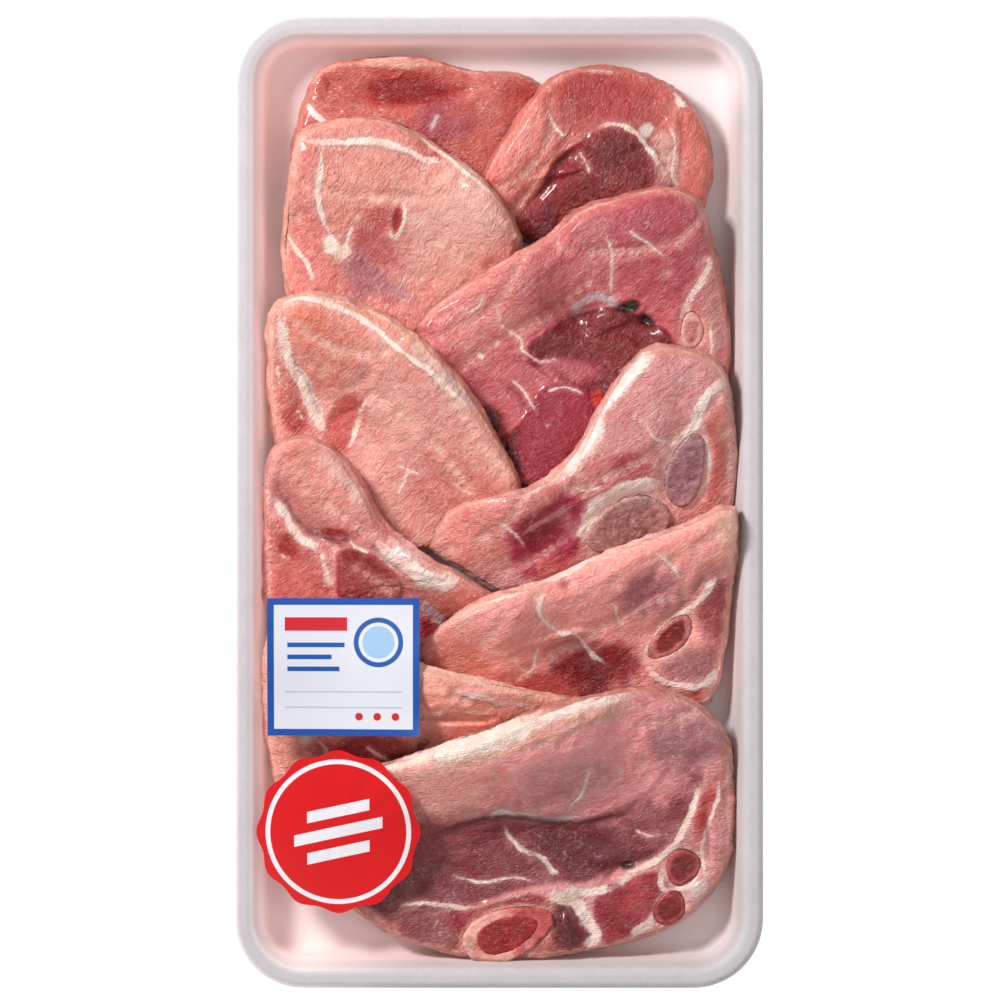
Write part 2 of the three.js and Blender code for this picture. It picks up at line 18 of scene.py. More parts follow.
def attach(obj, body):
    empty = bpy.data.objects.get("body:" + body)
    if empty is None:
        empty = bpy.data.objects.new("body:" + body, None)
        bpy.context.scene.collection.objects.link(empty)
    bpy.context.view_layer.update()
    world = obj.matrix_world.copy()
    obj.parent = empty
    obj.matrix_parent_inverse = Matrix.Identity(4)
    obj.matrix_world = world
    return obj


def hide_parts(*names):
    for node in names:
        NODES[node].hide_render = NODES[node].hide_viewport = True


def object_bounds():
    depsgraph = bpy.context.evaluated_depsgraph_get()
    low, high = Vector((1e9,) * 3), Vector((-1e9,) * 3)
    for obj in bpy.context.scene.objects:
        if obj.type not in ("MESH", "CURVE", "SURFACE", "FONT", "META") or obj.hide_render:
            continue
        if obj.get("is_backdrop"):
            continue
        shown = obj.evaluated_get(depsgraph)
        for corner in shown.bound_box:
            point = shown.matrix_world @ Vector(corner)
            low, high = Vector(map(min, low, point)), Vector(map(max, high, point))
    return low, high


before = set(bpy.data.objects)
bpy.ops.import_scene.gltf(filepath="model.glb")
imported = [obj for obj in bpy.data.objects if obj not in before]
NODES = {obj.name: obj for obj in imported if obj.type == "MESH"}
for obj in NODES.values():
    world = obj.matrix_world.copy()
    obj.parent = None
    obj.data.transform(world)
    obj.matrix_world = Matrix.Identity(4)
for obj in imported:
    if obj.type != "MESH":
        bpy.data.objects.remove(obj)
SIZES = {"cad": [list(corner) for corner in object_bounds()]}
MM = 0.001
TRAY_NODE = "tray"
CHOP_NAMES = [f"chop_{number:02d}" for number in range(1, 11)]
TOP_LEVEL = max(corner[2] for corner in SIZES["cad"])
print("CAD nodes", len(NODES), "top at", round(TOP_LEVEL / MM, 1), "mm")

# %% [markdown]
# ## Colours
# Raw pork runs from salmon in the pale muscles to crimson and plum in the working ones, with cream
# fat and bluish silverskin between. The tones that several faces share are named here in sRGB, as a
# colour picker gives them, and a muscle's own tone stands with its place further down. Blender
# mixes colours as linear light, so one helper turns the one into the other.

# %% The shared tones
SALMON = (222, 140, 126)
ORANGE_PINK = (232, 156, 138)
ROSE = (200, 104, 96)
FAT_CREAM = (244, 220, 198)
FAT_WHITE = (240, 226, 218)
SILVER = (208, 190, 196)
IVORY = (232, 205, 186)
# Painted shade: the near black put into small holes and pits.
HOLE_SHADE = (38, 14, 16)


def linear(colour):
    """An sRGB colour given from 0 to 255, as linear light from 0 to 1."""
    c = np.asarray(colour, float) / 255.0
    return np.where(c <= 0.04045, c / 12.92, ((c + 0.055) / 1.055) ** 2.4)


def rgba(colour):
    """The same, with full cover, as a shader socket wants it."""
    return (*[float(c) for c in linear(colour)], 1.0)


print("salmon lean in linear light", [round(float(c), 3) for c in linear(SALMON)])

# %% [markdown]
# ## Unevenness that comes out the same each time
# Meat has no straight line and no flat tone. Blender has noise for shaders, but a mesh that is
# painted and pushed vertex by vertex needs it in Python too. Here each whole-number cell of space
# gets a repeatable random value, and soft steps blend the eight cells round a place.

# %% Soft steps and lumps
def soft_step(low, high, value):
    """0 below the low value, 1 above the high one, with a smooth rise between."""
    share = np.clip((value - low) / (high - low), 0.0, 1.0)
    return share * share * (3.0 - 2.0 * share)


def lattice(cells, seed):
    """A repeatable random value from -1 to 1 for each whole-number cell."""
    x, y, z = (cells[..., i].astype(np.int64) for i in range(3))
    mixed = (x * 374761393 + y * 668265263 + z * 2147483647 + seed * 974711) & 0x7FFFFFFF
    mixed = ((mixed ^ (mixed >> 13)) * 1274126177) & 0x7FFFFFFF
    mixed = mixed ^ (mixed >> 16)
    return (mixed & 0xFFFF) / 32767.5 - 1.0


def lumps(places, size, seed):
    """Smooth noise from about -1 to 1 with lumps of one size, in the units of the places."""
    scaled = places / size
    low = np.floor(scaled)
    share = scaled - low
    share = share * share * (3.0 - 2.0 * share)
    total = np.zeros(len(places))
    for corner in range(8):
        step = np.array([corner & 1, (corner >> 1) & 1, corner >> 2])
        weight = np.prod(np.where(step, share, 1.0 - share), axis=1)
        total += weight * lattice(low + step, seed)
    return total


# %% [markdown]
# ## Lines over the meat
# A seam of fat, a crease and the outline of a muscle are all soft lines. A curve object would need
# its own mesh on top of the meat, so a line is kept as a few points instead: a smooth curve runs
# through them, and each vertex is told how far it lies from the curve, and how far along.

# %% Curves and distances
def curve(points, steps=6):
    """A smooth line through a few points."""
    p = np.asarray(points, float)
    if len(p) < 3:
        return p
    ends = np.vstack([2 * p[0] - p[1], p, 2 * p[-1] - p[-2]])
    line = []
    for i in range(1, len(ends) - 2):
        a, b, c, d = ends[i - 1 : i + 3]
        for t in np.linspace(0.0, 1.0, steps, endpoint=False):
            square = (2 * a - 5 * b + 4 * c - d) * t**2
            cube = (3 * b - a - 3 * c + d) * t**3
            line.append(0.5 * (2 * b + (c - a) * t + square + cube))
    line.append(ends[-2])
    return np.array(line)


def nearest(places, line, far):
    """Each place's distance from a line and the share of its length there, within a reach."""
    distance = np.full(len(places), 1e3)
    share = np.zeros(len(places))
    near = np.all((places > line.min(0) - far) & (places < line.max(0) + far), axis=1)
    index = np.nonzero(near)[0]
    if len(index) == 0:
        return distance, share
    xy = places[index]
    best = np.full(len(index), 1e3)
    along = np.zeros(len(index))
    runs = np.linalg.norm(np.diff(line, axis=0), axis=1)
    total = max(runs.sum(), 1e-6)
    done = 0.0
    for a, b, run in zip(line[:-1], line[1:], runs):
        way = b - a
        t = np.clip(((xy - a) @ way) / max(run * run, 1e-9), 0.0, 1.0)
        gap = np.linalg.norm(xy - (a + t[:, None] * way), axis=1)
        closer = gap < best
        best[closer] = gap[closer]
        along[closer] = (done + t[closer] * run) / total
        done += run
    distance[index] = best
    share[index] = along
    return distance, share


def tapered(along, low, high):
    """1 in the middle of a line, falling towards both of its ends."""
    return soft_step(low, high, along) * soft_step(low, high, 1.0 - along)


# %% [markdown]
# ## What each face shows
# One dictionary a chop, in the tray's millimetres (+X right, +Y far), because a cut face is a map of
# muscles and no formula gives it. An area is an outlined muscle: softness, colour, swell and
# outline. A patch is a soft oval: middle, half sizes, turn, colour and swell. A seam or a band is a
# line of fat with its width and colour, and a fold is a crease with its width and depth.

# %% A place for the faces
FACES = {}


def show_face(name, **parts):
    """Keeps one chop's face and says what it holds."""
    FACES[name] = {"areas": [], **parts}
    print(name, {kind: len(part) for kind, part in parts.items() if isinstance(part, list)})


# %% [markdown]
# The chop at the far left lies deepest, and its neighbours hide most of it. What shows is a red
# face with a crimson hollow along the top, its dark partly painted shade, a mauve muscle at its
# right end and a cream rim.

# %% The far left chop
show_face(
    "chop_01",
    base=(204, 102, 92),
    side=(214, 122, 108),
    grain=12,
    areas=[
        # The crimson hollow: a red muscle, deepened by painted shade where the face dips.
        (6.0, (146, 26, 28), -1.3, [
            (-59, 157), (-47.5, 162), (-34, 164), (-20.6, 161), (-12, 159), (-13, 155),
            (-20.6, 154), (-30, 154), (-42, 154), (-53, 154),
        ]),
        (5.0, (178, 84, 92), 0.5, [
            (-32, 149.4), (-26.3, 154), (-18.7, 156), (-11, 155), (-9, 148.5), (-12, 141.7),
            (-20.6, 139.8), (-26.3, 139.8), (-32, 144.6),
        ]),
    ],
    patches=[
        ((0, 154), (16, 13), 0, ROSE, 0.5),
        ((-62, 158), (16, 9), -10, (190, 94, 86), 0.5),
        ((-42, 169.5), (20, 2.4), -3, (236, 186, 164), 0.2),
        ((-77, 143), (6, 13), 8, (188, 82, 76), 0),
        ((10, 158), (9, 8), 20, (192, 84, 78), 0),
    ],
    seams=[
        (1.8, FAT_CREAM, [(-75.6, 155), (-71, 149.5), (-67, 146), (-63.3, 145.4)]),
        (1.4, FAT_CREAM, [(-54, 170.5), (-42, 171.5), (-33, 171)]),
        (1.2, SILVER, [(-26.3, 143.2), (-24.9, 146.5), (-23, 150)]),
    ],
    bands=[(3.5, ORANGE_PINK, [(-76, 158), (-69, 166), (-55, 170.5), (-34, 171.5), (-8, 166.5)])],
    folds=[(2.5, 0.5, [(-50, 156), (-34, 155), (-18, 154)])],
)

# %% [markdown]
# The far right chop has two muscles: a red one over the top and a dark one that stands proud in
# the middle. A white seam arches between them, and its left edge turns down to the tray, pale with
# a painted highlight along the ridge.

# %% The far right chop
show_face(
    "chop_02",
    base=(206, 104, 96),
    side=(210, 114, 100),
    grain=60,
    areas=[
        (2.2, (146, 50, 56), 0.9, [
            (15, 123.5), (21.7, 132), (31.3, 138.8), (38, 142.7), (46.7, 144.6), (54.4, 141.7),
            (60.2, 136), (64, 129.2), (66, 123.5), (66, 112), (50, 102), (29.4, 98), (19.8, 96),
            (9.2, 97), (7.3, 110),
        ]),
        (2.0, (216, 110, 98), 0.8, [
            (62, 144.6), (69.8, 152.3), (77.5, 154.2), (84, 148), (84, 129), (82, 112),
            (72, 112), (69.8, 129.2), (64, 136.9),
        ]),
    ],
    patches=[
        ((10, 134), (12, 23), -15, (240, 140, 130), 0.8),
        ((46, 132), (13, 10), -10, (126, 40, 50), 0),
        ((40, 120), (14, 9), 20, (128, 34, 44), 0.2),
        ((40, 156), (24, 11), -4, (186, 78, 78), 0.5),
        ((65, 130), (6, 11), 8, (206, 150, 140), 0.2),
        ((39.4, 167), (8, 2.2), 0, (238, 206, 186), 0),
        ((56.7, 143), (2.4, 2.4), 0, FAT_WHITE, 0),
        ((19, 107), (4, 9), -8, (124, 56, 64), 0),
        # A small hole, painted dark as shade.
        ((8.5, 98.5), (2.4, 1.4), 0, HOLE_SHADE, -0.5),
    ],
    seams=[
        (2.6, FAT_WHITE, [(64.4, 164), (68, 159), (70, 154), (73.5, 153.5)]),
        (1.5, FAT_WHITE, [
            (36.7, 142), (40, 144), (45.6, 145), (50, 143.8), (55, 140.4), (59.4, 134),
            (61.7, 129),
        ]),
        (1.0, FAT_WHITE, [(18.3, 149), (22.5, 143.5), (26.3, 139.6)]),
        (1.0, FAT_WHITE, [(30.6, 134.6), (33.7, 130), (35.2, 126)]),
        (1.0, FAT_WHITE, [(66, 146), (68, 138), (67, 128), (69, 120)]),
    ],
    bands=[
        # Painted highlight: a pale line along the ridge of the fold.
        (3.0, (230, 142, 126), [(9.4, 115.4), (15.2, 122), (20.2, 131), (27.9, 138), (29.4, 140.4)]),
        (2.6, ORANGE_PINK, [(2, 143), (16, 158.5), (30, 166.5), (46, 167.5)]),
    ],
    folds=[
        (2.2, 1.6, [(12, 114), (18, 121), (23, 129), (30, 136)]),
        (2.0, 0.8, [(70, 150), (70.5, 138), (68.5, 122), (71, 112)]),
    ],
)

# %% [markdown]
# The broad pale chop shows most of its face. White seams part it into a pink strip on the far
# side, a salmon eye and a redder left side, with a small red slit and a mauve bruise.

# %% The broad pale chop
show_face(
    "chop_03",
    base=SALMON,
    side=(236, 166, 148),
    grain=62,
    areas=[
        (2.0, (218, 128, 118), -0.3, [
            (-77.3, 140.3), (-68.7, 146), (-51.3, 149), (-40.8, 149), (-32, 143), (-21.5, 131),
            (-26.3, 131), (-39.8, 136), (-49.4, 138), (-66.7, 138),
        ]),
        (2.6, (226, 132, 122), 0.5, [
            (-78, 139), (-69.6, 136), (-68.7, 119.6), (-67.7, 110), (-63.8, 94.6), (-64.8, 78),
            (-84, 78), (-87, 114.8),
        ]),
        (5.0, (202, 102, 98), 0.3, [
            (-56.2, 104.2), (-47.5, 113.8), (-41.7, 112), (-40.8, 102.3), (-34, 94.6), (-34, 85),
            (-45.6, 90.8), (-56.2, 92.7),
        ]),
    ],
    patches=[
        ((-18, 106), (20, 26), -30, (240, 178, 164), 0.8),
        ((-25.5, 135), (5, 4.4), -40, (192, 74, 68), 0),
        ((-51, 87), (10, 6), -40, (176, 106, 112), 0.4),
        ((-38, 78), (13, 5), -36, (192, 122, 126), 0.3),
        ((-54, 80), (5, 7), 0, (186, 112, 114), 0),
        ((-39, 108.8), (2.2, 5), -8, (168, 48, 46), -0.5),
        ((-40, 70), (22, 8), -4, (228, 138, 128), 0.2),
    ],
    seams=[
        (1.9, FAT_WHITE, [
            (-77, 140), (-70, 137.6), (-61, 138), (-50, 138), (-42, 136.5), (-34.4, 134),
            (-28, 131), (-22, 130),
        ]),
        (1.5, FAT_WHITE, [
            (-69, 137), (-67.5, 131.5), (-68.7, 122.5), (-68.7, 114.5), (-67, 108), (-64.8, 101),
        ]),
        (3.4, FAT_WHITE, [(-65.5, 103), (-63.5, 98), (-61.3, 95.2), (-59, 95.6), (-57.8, 99)]),
        (1.2, FAT_WHITE, [(-59.5, 96), (-57.5, 102), (-56.5, 107)]),
        (1.1, FAT_WHITE, [(-36.7, 115.4), (-36, 108), (-39.8, 101.5), (-42.5, 105.8)]),
        (1.3, FAT_WHITE, [(-81, 103), (-77, 96.2), (-73, 90.4), (-71.3, 83.8)]),
    ],
    bands=[
        (3.6, FAT_CREAM, [(-30, 142.5), (-24, 137), (-16, 130.5), (-7, 124.5), (0, 117.5)]),
        (4.5, ORANGE_PINK, [(-80, 130), (-76, 141.5), (-63, 145.8), (-45, 146.6), (-31, 141)]),
    ],
    folds=[(2.4, 0.5, [(-76, 139), (-60, 136.8), (-42, 135), (-28, 129.5)])],
)

# %% [markdown]
# The big chop right of the middle is the deepest red. Two wine-coloured muscles are sunk under
# a silver skin with two holes painted dark as shade, and thin white seams branch over the rest.

# %% The big red chop
show_face(
    "chop_04",
    base=(204, 100, 106),
    side=(222, 134, 124),
    areas=[
        (2.5, (130, 24, 46), 1.3, [
            (11, 60), (23.7, 68.8), (36, 74.2), (47.5, 73.8), (56.3, 70.4), (66, 64), (66, 54),
            (56, 44), (48.7, 44), (41, 41.9), (33.3, 39.6), (23.7, 44.6), (16, 50.4),
            (11.3, 54.2),
        ]),
        (2.2, (158, 48, 68), 0.9, [
            (3.5, 25.4), (10.2, 34), (17.9, 44.6), (27.5, 46.5), (34.2, 40.8), (38, 30),
            (34, 16), (22.7, 6), (14, 0), (8, 2), (4, 15),
        ]),
    ],
    grain=40,
    patches=[
        ((-4, 74), (27, 15), 38, (228, 134, 128), 0.4),
        ((58, 108), (28, 12), 2, (194, 90, 102), 0.9),
        ((36, 97), (8, 12), 0, (204, 120, 120), 0.2),
        ((24, 88), (17, 10), 30, (218, 114, 118), 0.3),
        ((2.5, 17.5), (7, 10), 10, (112, 28, 42), 0),
        # Painted shadow: the dark spot that the long pale chop's edge casts here.
        ((-3, 31), (6, 6), 0, (100, 28, 36), -0.4),
        ((38.3, 38.8), (3.4, 3.8), 0, (222, 62, 52), 0),
        ((84, 72), (6, 19), 4, (200, 130, 124), 0.4),
        # Two holes, painted dark as shade.
        ((49.4, 75), (4.2, 2), 8, HOLE_SHADE, -1.2),
        ((57.5, 69.6), (3.4, 1.9), -30, HOLE_SHADE, -1.2),
        ((66, 88), (9, 10), 0, (192, 88, 98), 0.3),
        ((24, 50), (14, 5), 6, (196, 96, 104), 0),
    ],
    seams=[
        (1.2, FAT_WHITE, [(41.7, 102), (43.3, 96), (43.7, 88), (43.3, 79)]),
        (1.2, FAT_WHITE, [(49.8, 103.8), (58.7, 97.7), (66, 92.7)]),
        (1.1, FAT_WHITE, [
            (-1, 77), (1.3, 68.5), (8.7, 62), (9.4, 57.7), (16, 53.8), (21.7, 54.6),
            (26.3, 52.3),
        ]),
        (1.4, FAT_WHITE, [(-7.5, 56.5), (-5, 54.5)]),
        (2.2, SILVER, [(27, 71), (31, 75.5), (36.7, 78.8), (42.5, 77.6), (47, 75.6)]),
        (1.0, FAT_WHITE, [(4.5, 47), (9, 43), (12, 39), (14.5, 34)]),
        (2.2, FAT_CREAM, [(83, 96.5), (79.4, 87), (74, 78), (70.4, 70)]),
        (1.2, FAT_CREAM, [(81.3, 67.3), (82.5, 61), (82, 55.4)]),
        (0.9, FAT_WHITE, [(-14, 71), (-8, 74), (-4, 80)]),
        (0.9, FAT_WHITE, [(18, 42), (26, 44), (33, 41)]),
    ],
    bands=[
        (3.8, (224, 134, 112), [(2, 92.5), (16, 100), (28, 111), (44, 117), (64, 120.8), (76, 117)]),
        (3.0, (226, 140, 122), [(-31, 68), (-20, 77.5), (-8, 85.5), (2, 91.5)]),
    ],
    folds=[
        (2.0, 1.6, [(20, 65), (29, 71), (36.7, 73.4), (46, 74.4), (56, 69.5), (66, 66)]),
        (1.6, 1.3, [(3, 44), (8, 40), (11, 35)]),
        (1.8, 0.8, [(20, 52), (28, 46), (36, 44), (44, 45)]),
    ],
)

# %% [markdown]
# The long pale chop has a thick cream seam round its far end, a rosy hollow with a white edge
# and a smooth salmon eye that runs down to a point.

# %% The long pale chop
show_face(
    "chop_05",
    base=(232, 154, 142),
    side=(238, 170, 150),
    areas=[(3.0, (212, 108, 98), -0.6, [
        (-66.7, 27.3), (-62.2, 37.6), (-49.4, 42.7), (-51.3, 35), (-57, 22), (-59.7, 18.3),
        (-66, 22),
    ])],
    grain=50,
    patches=[
        ((-74, 66), (11, 9), 20, (226, 122, 98), 0.3),
        ((-66, 56), (16, 12), 30, (218, 128, 112), 0.3),
        ((-47.5, 72.7), (22, 4.4), -34, (232, 148, 122), 0),
        ((-27.5, 56.5), (7, 4), -40, (226, 190, 182), 0),
        ((-14.5, 43.8), (11, 4.2), -48, (202, 176, 174), 0),
        ((-88, 70), (3, 8), 0, (220, 150, 144), 0),
        ((-78, 32.7), (4.6, 7.4), 10, (182, 68, 62), -0.4),
        ((-59, 30), (6.5, 11), -32, (202, 88, 80), -0.3),
        ((-82, 44), (4.5, 12), 14, (206, 112, 102), 0.2),
        ((-20, 6), (22, 14), -30, (212, 128, 118), 0.6),
        ((-40, 34), (18, 9), -44, (240, 172, 158), 0.6),
        ((-66, 6), (14, 9), -30, (216, 128, 112), 0),
    ],
    seams=[
        (1.7, FAT_CREAM, [
            (-84, 72.3), (-80.4, 76.8), (-72, 77.8), (-65.6, 75.8), (-58.3, 73.4), (-51.3, 69),
            (-44.8, 64), (-39, 58.8), (-33.3, 54.4), (-27, 49.8), (-20.6, 44), (-15.6, 39.8),
            (-8, 32),
        ]),
        (3.2, FAT_CREAM, [
            (-84, 72.3), (-83.4, 65), (-81.8, 58.5), (-80.2, 52.3), (-76.2, 46.5), (-73, 40.8),
            (-70, 33.5), (-67.2, 26),
        ]),
        (2.6, FAT_CREAM, [(-88.2, 66.5), (-88.6, 60)]),
        (1.3, FAT_WHITE, [(-85.2, 52.3), (-84.2, 47), (-83.3, 43.5)]),
        (1.5, FAT_WHITE, [(-50.6, 40), (-53, 33.8), (-55.2, 26), (-58.3, 20)]),
        (1.0, FAT_WHITE, [(-34.4, 12), (-36.7, 7), (-39, 1.5)]),
        (1.0, FAT_WHITE, [(-30, 10), (-34.4, 12), (-40, 14)]),
        (0.9, FAT_WHITE, [(-18, 7), (-13, 4), (-9, 3)]),
        (0.9, FAT_WHITE, [(-75.8, 31), (-76.5, 34), (-78.5, 35)]),
    ],
    bands=[(2.4, (236, 170, 146), [(-60, 79), (-48, 74.5), (-33, 65), (-15, 48.5), (-1, 27)])],
    folds=[
        (2.0, 0.9, [(-79, 58), (-77, 51), (-73.5, 45), (-70.6, 38), (-68, 30)]),
        (4.0, 0.8, [(-58.3, 42), (-53, 47), (-47.9, 52.3)]),
        (1.6, 0.8, [(-50.6, 41), (-55, 36), (-62, 33), (-66, 28)]),
    ],
)

# %% [markdown]
# This chop carries the widest fat: a cream edge runs down its left side. A white arch frames the
# cut bone, a second line goes up to the corner, and the flesh left of the bone is plum.

# %% The chop with the arched bone
show_face(
    "chop_06",
    base=(224, 148, 144),
    side=(232, 160, 150),
    grain=30,
    areas=[
        (6.0, (172, 50, 74), -0.3, [
            (6, 2), (18, 5), (28, 5), (33, 0), (34, -10), (31, -20), (22, -28), (10, -30),
            (4, -20), (2, -8),
        ]),
        (2.4, (196, 86, 94), 0.0, [
            (24, 7), (34, 13), (44, 17), (54, 19), (62, 16), (62, 9), (50, 5), (40, 2), (32, 1),
        ]),
        (2.4, (230, 184, 174), 0.3, [(54, 18), (60, 24), (66, 24), (66, 14), (62, 9), (56, 12)]),
        (2.0, (204, 104, 100), 0.2, [
            (79, 30), (86, 40), (91, 44), (93, 20), (92, -4), (82, -10), (80, 4), (83, 16),
        ]),
    ],
    patches=[
        ((58, 36), (22, 18), 48, (216, 138, 136), 0.8),
        ((-10, -12), (18, 12), 20, (238, 144, 134), 0.5),
        ((16, -14), (9, 10), 10, (156, 38, 64), -0.2),
        ((14, 0), (12, 5), 24, (216, 130, 122), 0.3),
        ((51.7, 11), (12, 6.4), 14, (192, 84, 92), 0.1),
        ((36, 12), (10, 9), 30, (212, 124, 120), 0.3),
        ((84.4, 23), (2.4, 9), 4, (206, 102, 92), 0.2),
        ((88, 32), (5, 12), 0, (222, 134, 120), 0.2),
        ((91.5, 11), (3.4, 10), 0, (152, 84, 102), 0),
        ((82, -8), (8, 8), 0, (206, 120, 118), 0.2),
        ((30, -28), (16, 6), -14, (206, 104, 96), 0),
        ((60, -22), (12, 4), 10, (170, 78, 80), 0),
    ],
    seams=[
        (2.8, FAT_WHITE, [
            (88.7, 50.8), (86, 45), (80.6, 40.8), (77, 33.8), (74.8, 28), (70.6, 23.8),
            (66.7, 18.5), (65, 13.5), (64.4, 8),
        ]),
        (4.0, FAT_WHITE, [
            (65, 8), (57, 6.2), (48.3, 3.8), (42.5, 1.5), (38, -1.9), (35.6, -6.5), (34, -12.3),
            (32.5, -18),
        ]),
        (1.7, IVORY, [(78, 27), (80.4, 20), (80.6, 11), (77.4, 2), (72, -3.6)]),
        (1.0, FAT_WHITE, [(28, 6), (34, 4), (40, 6)]),
        (1.0, FAT_WHITE, [(56, 30), (60, 24), (66, 22)]),
        (0.9, FAT_WHITE, [(-2, -8), (6, -12), (10, -19)]),
    ],
    bands=[
        (6.4, FAT_CREAM, [(57, 56.5), (51.3, 50.8), (45.6, 44.2), (39.4, 37.7), (35, 32.5)]),
        (9.0, FAT_CREAM, [(37, 34.5), (33.6, 27), (28.5, 19), (22, 12)]),
        (3.6, FAT_CREAM, [(24, 15), (17, 7.8), (9, 3)]),
        (3.0, (234, 160, 136), [(84, 52), (71, 58.4), (58, 58)]),
        (2.4, (232, 140, 118), [(-25, -14), (-17, -5), (-4, 0.5), (10, 5)]),
    ],
    folds=[
        (2.0, 0.7, [(63, 5), (53, 2), (43, -2), (37, -8)]),
        (1.8, 0.6, [(8, -4), (12, -12), (12, -22)]),
    ],
)

# %% [markdown]
# The chop above the card has a round pale lobe, a red hollow under it and the whitest strip of
# fat of all, which runs down to the right.

# %% The chop above the card
show_face(
    "chop_07",
    base=(218, 128, 122),
    side=(226, 142, 132),
    grain=35,
    areas=[
        (1.6, (160, 62, 64), 1.2, [
            (-62.4, -25.6), (-62, -19.8), (-57, -17.9), (-50.4, -19.8), (-44.6, -23.7),
            (-38, -30.4), (-40, -38), (-60, -38),
        ]),
        (2.0, (206, 102, 96), 0.4, [
            (-89.8, -9.2), (-85, -7.3), (-79.2, -14), (-71.5, -18.8), (-65.8, -25.6),
            (-66.7, -36), (-81, -40), (-92, -40), (-92.7, -22.7),
        ]),
    ],
    patches=[
        ((-71, 8), (10, 21), 38, (222, 138, 124), 1.0),
        ((-56, 8), (5, 18), 38, (228, 176, 164), 0),
        ((-64, -12), (5.5, 1.8), -6, (172, 54, 52), -0.6),
        ((-81, -18), (4.2, 5), 0, (172, 58, 56), -0.3),
        ((-34, -19), (9, 3.2), -30, (214, 190, 194), 0),
        ((-20, -40), (24, 8), -14, (216, 126, 114), 0.4),
        ((-25, -48), (6, 7), 0, (168, 54, 62), 0),
        ((-8, -50), (9, 7), 0, (214, 122, 108), 0.2),
    ],
    seams=[
        (3.0, FAT_WHITE, [(-85.6, 0), (-81.7, -5.8), (-78, -12), (-73.7, -16.2), (-68.3, -18.5)]),
        (1.7, FAT_WHITE, [(-68.3, -19), (-67.6, -24), (-65.6, -29), (-64, -33)]),
        (5.0, FAT_WHITE, [
            (-47, -14.6), (-42.5, -19.2), (-37.5, -23.5), (-31.7, -28), (-25.6, -30.8),
            (-20, -31.3), (-16.7, -28.8), (-12.5, -27.3),
        ]),
        (1.2, FAT_WHITE, [(-84.4, -20), (-82, -22), (-80, -21)]),
        (2.4, SILVER, [(-30, -39.6), (-25, -43), (-19.8, -47)]),
        (1.0, FAT_WHITE, [(-58, -14), (-54, -18), (-49, -20)]),
    ],
    bands=[
        (2.8, (230, 192, 182), [(-73.7, 24), (-61, 18.5), (-53.7, 9.6), (-47, 0.8), (-40.6, -8.8)]),
        (3.0, (230, 156, 140), [(-90, 2), (-87.5, 16), (-80, 24), (-70, 24)]),
    ],
    folds=[
        (2.6, 1.8, [(-84, 4), (-78, -6), (-70, -13), (-60, -15), (-52, -12)]),
        (2.0, 1.0, [(-50, -16), (-44, -22), (-36, -28)]),
    ],
)

# %% [markdown]
# The chop on the right under that one is long and pink, with a cream far edge, a dark shaded
# muscle along its near edge and a small oval bone near its right end.

# %% The chop with the small bone
show_face(
    "chop_08",
    base=(254, 163, 152),
    side=(242, 170, 156),
    grain=20,
    patches=[
        ((20, -44), (28, 12), 16, (246, 158, 150), 0.9),
        ((57, -36), (13, 11), 10, (190, 108, 116), 0.2),
        ((64.8, -10), (6, 2.6), -10, (236, 218, 206), 0),
        ((89, -7.7), (5.5, 8.4), -10, (238, 192, 166), 0.5),
        ((34.4, -64), (19, 10.5), 4, (134, 42, 48), 0.2),
        ((46, -62), (6, 7.4), 0, (152, 40, 48), 0),
        ((74, -63), (13, 9), 8, (176, 106, 106), 0),
        ((80, -77), (8, 5), 0, (184, 66, 60), 0),
        ((84, -42), (9, 17), 4, (172, 80, 82), 0.4),
        ((14, -72), (18, 7), 0, (190, 84, 82), 0),
        ((-18, -64), (14, 9), 20, (224, 134, 112), 0.2),
        ((84, -4), (2, 1.6), 0, (80, 30, 28), -0.6),
        ((25.2, -31.5), (2.4, 2.4), 0, (196, 110, 98), -0.6),
        ((8, -78), (12, 5), 0, (196, 96, 88), 0),
    ],
    seams=[
        (2.1, FAT_CREAM, [
            (-9, -39.6), (0, -36.4), (8, -33.3), (16, -30.8), (25.6, -27.6), (32, -24),
            (42.5, -20.4), (49.8, -16.6), (57, -13.2), (69, -10),
        ]),
        (1.4, FAT_WHITE, [
            (17.5, -33), (15.6, -38.8), (16.3, -44.2), (20.2, -47.7), (24.8, -50.8), (28.7, -51),
            (33.7, -55.8), (37.9, -59.6), (41.7, -62.7),
        ]),
        (1.0, FAT_WHITE, [(4, -55.8), (8.7, -64.6), (12.9, -65.4), (15.2, -57.3), (17.5, -55)]),
        (1.0, FAT_WHITE, [(44.8, -38.8), (46, -44), (49, -49.2)]),
        (1.7, FAT_WHITE, [
            (57, -63.8), (62.9, -69.2), (70.6, -71.5), (78, -71.5), (83.7, -67), (86.7, -63.5),
        ]),
        (1.7, FAT_WHITE, [(84.4, -28), (79.4, -35.4), (73.3, -42), (64.4, -47.7), (58, -56), (56, -61)]),
        (1.4, FAT_WHITE, [(93, -4.2), (92.6, -9), (91, -13)]),
        (1.0, FAT_WHITE, [(60, -20), (66, -24), (70, -30)]),
        (1.6, FAT_WHITE, [(78, -79), (82, -76), (86, -72)]),
    ],
    bands=[
        (3.0, (236, 178, 156), [(-28, -53), (-20, -46.5), (-4, -37.5), (16, -30.5), (38, -21.5)]),
        (2.4, (236, 180, 160), [(72, -9), (82, -5.5), (90, -2)]),
    ],
    folds=[
        (2.2, 0.9, [(80, -26), (76, -34), (70, -41), (62, -47)]),
        (1.8, 0.8, [(18, -57), (28, -54), (38, -60), (50, -66)]),
        (2.0, 1.0, [(58, -68), (70, -75), (80, -73)]),
    ],
)

# %% [markdown]
# Only strips of this chop show, round the card and under the front chop: an orange-pink slope
# with a thin seam, and a red shaded hollow below the card.

